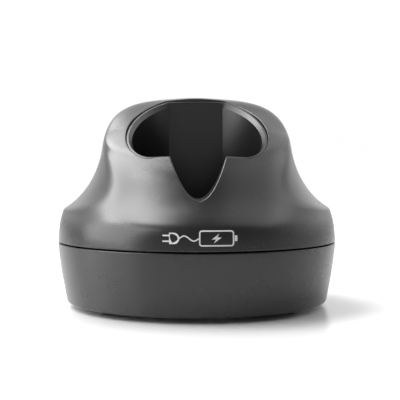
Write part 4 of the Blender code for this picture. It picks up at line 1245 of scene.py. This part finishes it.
class STAND_OT_socket(Maker, bpy.types.Operator):
    """Moulds the low-voltage socket at the back, with its pin and its spring leaf"""

    bl_idname = "stand.socket"
    bl_label = "Power socket"

    def make(self):
        low, high = low_of("dc_jack_body"), high_of("dc_jack_body")
        face = mount_place("plug_face")
        shoulder = face.y - 3.3 * MM
        sunk = shoulder - 2 * MM
        body = box_mesh("socket body", low, (high.x, shoulder, high.z), 0.25 * MM)
        outline = [(0, sunk), (SOCKET_NOSE, sunk), (SOCKET_NOSE, high.y, 0.4 * MM), (0, high.y)]
        nose = turned_mesh("nose", rounded(outline, 0.1 * MM), 64, (0, face.z), axis="Y")
        mesh = combined(body, nose, "UNION")
        pin_hole, plug_hole, lead = 1.25 * MM, 3.2 * MM, 0.5 * MM
        back, end, front = low.y - CLEAR, high.y - 10.5 * MM, high.y + CLEAR
        bore = rounded(
            [
                (0, back), (pin_hole, back), (pin_hole, end), (plug_hole, end),
                (plug_hole, high.y - 0.4 * MM), (plug_hole + lead, high.y + 0.1 * MM),
                (plug_hole + lead, front), (0, front),
            ],
            0.1 * MM,
        )  # fmt: skip
        mesh = combined(mesh, turned_mesh("bore", bore, 64, (0, face.z), axis="Y"), "DIFFERENCE")
        new_piece("socket_body", mesh, nylon(), stands_for=["dc_jack_body"])
        nickel = settings().colours.nickel
        plated = metal("socket_plate", nickel, roughness=0.18, stretch=(1, 12, 1), stains=0.15)
        low, high = low_of("dc_jack_pin"), high_of("dc_jack_pin")
        pin, back = 1.0 * MM, low.y + 0.2 * MM
        outline = [(0, back), (pin, back), (pin, high.y, 0.5 * MM), (0, high.y)]
        mesh = turned_mesh("pin", rounded(outline, 0.1 * MM, 6), 40, (0, face.z), axis="Y")
        tag = box_mesh("tag", (-pin, low.y, low.z), (pin, low.y + 0.7 * MM, face.z + 0.5 * MM), 0.08 * MM)
        mesh = combined(mesh, tag, "UNION")
        new_piece("socket_pin", mesh, plated, stands_for=["dc_jack_pin"])
        low, high = low_of("dc_jack_leaf"), high_of("dc_jack_leaf")
        mesh = box_mesh("socket_leaf", low, high, 0.08 * MM)
        new_piece("socket_leaf", mesh, plated, stands_for=["dc_jack_leaf"])


class STAND_OT_screws(Maker, bpy.types.Operator):
    """Rolls the threaded screws that hold the housings, the board and the cup"""

    bl_idname = "stand.screws"
    bl_label = "Screws"

    def make(self):
        finish = metal("zinc_plate", settings().colours.zinc, roughness=0.22, stretch=(1, 1, 1))
        large, small, up, down = (1.5 * MM, 1.0 * MM), (1.1 * MM, 0.8 * MM), 1, -1
        for place in PLACES:
            self.screw(f"housing_screw_{place}", *large, HOUSING_SCREW_HEAD, up, finish)
            self.screw(f"board_screw_{place}", *small, BOARD_SCREW_HEAD, down, finish)
        for side in SIDES:
            self.screw(f"liner_screw_{side}", *small, LINER_SCREW_HEAD, up, finish)

    def screw(self, node, shank, pitch, head, way, finish):
        """One screw in its node's box. way is 1 when its point is up and -1 when it is down."""
        low, high, at = low_of(node), high_of(node), middle_of(node)
        wide = high.x - at.x
        start, point = (low.z, high.z) if way > 0 else (high.z, low.z)
        under = start + way * head
        crown, side = 0.5 * head, start + way * 0.55 * head
        cap = [(0, start), (0.70 * wide, start, crown), (wide, side), (wide, under), (shank, under)]
        around = 28
        turns = np.linspace(0, math.tau, around, endpoint=False)
        rows = []
        for radius, z in rounded(cap, 0.15 * MM):
            rows.append(ring_of(at, max(radius, TIP), turns, z))
        length = abs(point - under)
        core = 0.76
        for along in np.arange(0.2 * MM, length - 0.3 * MM, pitch / 7):
            phase = np.mod(along / pitch - turns / math.tau, 1)
            crest = np.clip(1.6 * (1 - np.abs(2 * phase - 1)) - 0.45, 0, 1)
            fade = min(1.0, along / pitch, (length - along) / (1.6 * shank))
            taper = min(1.0, 0.3 + (length - along) / (1.5 * shank))
            radius = shank * (core + (1 - core) * crest * fade) * taper
            rows.append(ring_of(at, radius, turns, under + way * along))
        rows.append(ring_of(at, 0.2 * shank, turns, point))
        mesh = grid_mesh(f"threaded_{node}", rows)
        cutters = [cross_arm(at, start, way, wide, turn) for turn in (0, math.pi / 2)]
        mesh = combined(mesh, cutters[0], "DIFFERENCE")
        mesh = combined(mesh, cutters[1], "DIFFERENCE")
        new_piece(f"threaded_{node}", mesh, finish, stands_for=[node], sharp=50)


def ring_of(at, radius, turns, z):
    """One level ring round a place. The radius is one number, or one for each angle."""
    height = np.full(len(turns), z)
    return np.column_stack([at.x + radius * np.cos(turns), at.y + radius * np.sin(turns), height])


def cross_arm(at, start, way, wide, turn):
    """One arm of a cross recess, narrowing as it goes in."""
    depth, reach, thick = 0.5 * wide, 0.5 * wide, 0.13 * wide
    cos, sin = math.cos(turn), math.sin(turn)
    rows = []
    for half, z in ((reach, start - way * 0.1 * MM), (0.62 * reach, start + way * depth)):
        plan = [(half, thick), (-half, thick), (-half, -thick), (half, -thick)]
        rows.append([(at.x + x * cos - y * sin, at.y + x * sin + y * cos, z) for x, y in plan])
    return grid_mesh("cross", rows)


class STAND_OT_inside(Maker, bpy.types.Operator):
    """Finishes the pieces that stay as they are in the frame: board, holder, ballast and components"""

    bl_idname = "stand.inside"
    bl_label = "Inside pieces"

    def make(self):
        colours = settings().colours
        plate = metal("ballast_sheet", colours.steel, roughness=0.36, stretch=(1, 14, 1), stains=0.5)
        pad = metal("spring_pad", colours.nickel, roughness=0.20)
        finishes = {
            "circuit_board": (board_mask(), 0.15 * MM),
            "contact_holder": (nylon(), 0.3 * MM),
            "ballast_plate": (plate, 0.25 * MM),
            "spring_seat_left": (pad, 0.05 * MM),
            "spring_seat_right": (pad, 0.05 * MM),
            "protection_diode": (component("diode_epoxy", (0.022, 0.022, 0.024), roughness=0.42), 0.15 * MM),
            "resettable_fuse": (component("fuse_coat", (0.06, 0.16, 0.06), roughness=0.30), 0.25 * MM),
        }
        for node, (finish, edge) in finishes.items():
            thing = frame["nodes"][node]
            thing.data.materials.clear()
            thing.data.materials.append(finish)
            step = thing.modifiers.new("softened edges", "BEVEL")
            step.width = edge
            step.segments = 2
            step.limit_method = "ANGLE"
            step.angle_limit = math.radians(50)


# ================================================================ operator: the studio
def aimed(location, target):
    return (Vector(target) - Vector(location)).to_track_quat("-Z", "Y").to_euler()


def turned_shell(name, outline, around):
    """An open sheet spun from a (radius, height) outline round the Z axis."""
    turns = np.linspace(0, math.tau, around, endpoint=False)
    points = [(r * math.cos(t), r * math.sin(t), z) for r, z in outline for t in turns]
    faces = []
    for start in range(0, (len(outline) - 1) * around, around):
        for i in range(around):
            here, after = start + i, start + (i + 1) % around
            faces.append((here, after, after + around, here + around))
    mesh = bpy.data.meshes.new(name)
    mesh.from_pydata(points, [], faces)
    return mesh


def softbox(name, direction, size, power, distance=0.85, target=(0, 0, 0.04)):
    """A rectangular soft light that looks at the stand's middle from one direction."""
    lamp = bpy.data.lights.new(name, "AREA")
    lamp.shape = "RECTANGLE"
    lamp.size, lamp.size_y = size
    lamp.energy = power
    light = bpy.data.objects.new(name, lamp)
    bpy.context.scene.collection.objects.link(light)
    light.location = Vector(direction).normalized() * distance + Vector(target)
    light.rotation_euler = aimed(light.location, target)
    light.visible_camera = False
    return light


class STAND_OT_studio(Maker, bpy.types.Operator):
    """Sets the camera, the white table and backdrop, the softboxes and the surroundings"""

    bl_idname = "stand.studio"
    bl_label = "Studio"

    def make(self):
        studio = settings().studio
        camera = bpy.data.objects.new("camera", bpy.data.cameras.new("camera"))
        scene = bpy.context.scene
        scene.collection.objects.link(camera)
        scene.camera = camera
        camera.data.lens = studio.lens
        camera.data.sensor_width = 36
        camera.data.clip_start = 0.01
        side, ahead = math.sin(studio.azimuth), math.cos(studio.azimuth)
        camera.location = (studio.distance * side, -studio.distance * ahead, studio.height)
        camera.rotation_euler = (math.pi / 2 - studio.pitch, 0, studio.azimuth + studio.yaw)
        self.stage()
        room = bpy.data.worlds.new("dark room")
        room.use_nodes = True
        grey = (studio.room, studio.room, studio.room, 1)
        room.node_tree.nodes["Background"].inputs["Color"].default_value = grey
        scene.world = room
        for name, direction, size, power in (
            ("key softbox", (-0.84, -0.20, 0.46), (0.80, 0.80), studio.key),
            ("top softbox", (-0.43, 0.29, 0.87), (0.62, 0.46), studio.top),
            ("strip softbox", (-0.33, -0.05, 0.94), (0.22, 0.24), studio.strip),
            ("fill softbox", (0.46, 0.10, 0.88), (0.56, 0.52), studio.fill),
        ):
            softbox(name, direction, size, power)
        scene.view_settings.view_transform = "Standard"

    def stage(self):
        """A round white sweep that glows behind the stand, fades to the sides and is dim in front."""
        studio = settings().studio
        reach, bend, top = 1.35, 0.45, 2.1
        flat = reach - bend
        outline = [(0.0, 0.0), (0.3, 0.0), (flat, 0.0)]
        outline += [
            (flat + bend * math.sin(t), bend - bend * math.cos(t))
            for t in np.linspace(0, math.pi / 2, 13)[1:]
        ]
        outline.append((reach, top))
        mesh = turned_shell("white_sweep", outline, 96)
        mesh.shade_smooth()
        sweep = bpy.data.objects.new("white_sweep", mesh)
        bpy.context.scene.collection.objects.link(sweep)
        finish = Finish("sweep_paper")
        cloud = finish.noise(0.3, 2)
        _, back, up = finish.parts(finish.place())
        glow = (back / reach).ramp(-0.75, 0.75) * studio.glow + studio.glow_front
        raised = up.ramp(0.02, bend)
        paper = finish.blend(cloud, (0.74, 0.74, 0.74), (0.77, 0.77, 0.77))
        finish.surface(
            Base_Color=finish.blend(raised, paper, (0.10, 0.10, 0.10)),
            Roughness=0.25,
            Emission_Color=finish.blend(glow * raised / studio.glow, (0, 0, 0), (1, 1, 1)),
            Emission_Strength=studio.glow,
        )
        mesh.materials.append(finish.material)


# ================================================================ panel and registration
OPERATORS = (
    STAND_OT_tower, STAND_OT_cup, STAND_OT_base, STAND_OT_feet, STAND_OT_print, STAND_OT_label,
    STAND_OT_contacts, STAND_OT_socket, STAND_OT_screws, STAND_OT_inside, STAND_OT_studio,
)  # fmt: skip


class STAND_PT_panel(bpy.types.Panel):
    """Lists the stand's operators and its sizes."""

    bl_idname = "STAND_PT_panel"
    bl_label = "Charging Stand"
    bl_space_type = "VIEW_3D"
    bl_region_type = "UI"
    bl_category = "Stand"

    def draw(self, context):
        layout = self.layout
        for operator in OPERATORS:
            layout.operator(operator.bl_idname)
        chosen = settings()
        for group in (chosen.tower, chosen.cup, chosen.base, chosen.colours, chosen.studio):
            box = layout.box()
            for key in group.bl_rna.properties.keys():
                if key not in ("rna_type", "name"):
                    box.prop(group, key)


GROUPS = (TowerSizes, CupSizes, BaseSizes, StandColours, Studio, StandSettings)
CLASSES = (*GROUPS, *OPERATORS, STAND_PT_panel)


def register():
    for item in CLASSES:
        bpy.utils.register_class(item)
    bpy.types.Scene.charging_stand = PointerProperty(type=StandSettings)


def unregister():
    del bpy.types.Scene.charging_stand
    for item in reversed(CLASSES):
        bpy.utils.unregister_class(item)


def main():
    register()
    for operator in OPERATORS:
        group, name = operator.bl_idname.split(".")
        getattr(getattr(bpy.ops, group), name)()


if __name__ == "__main__":
    main()
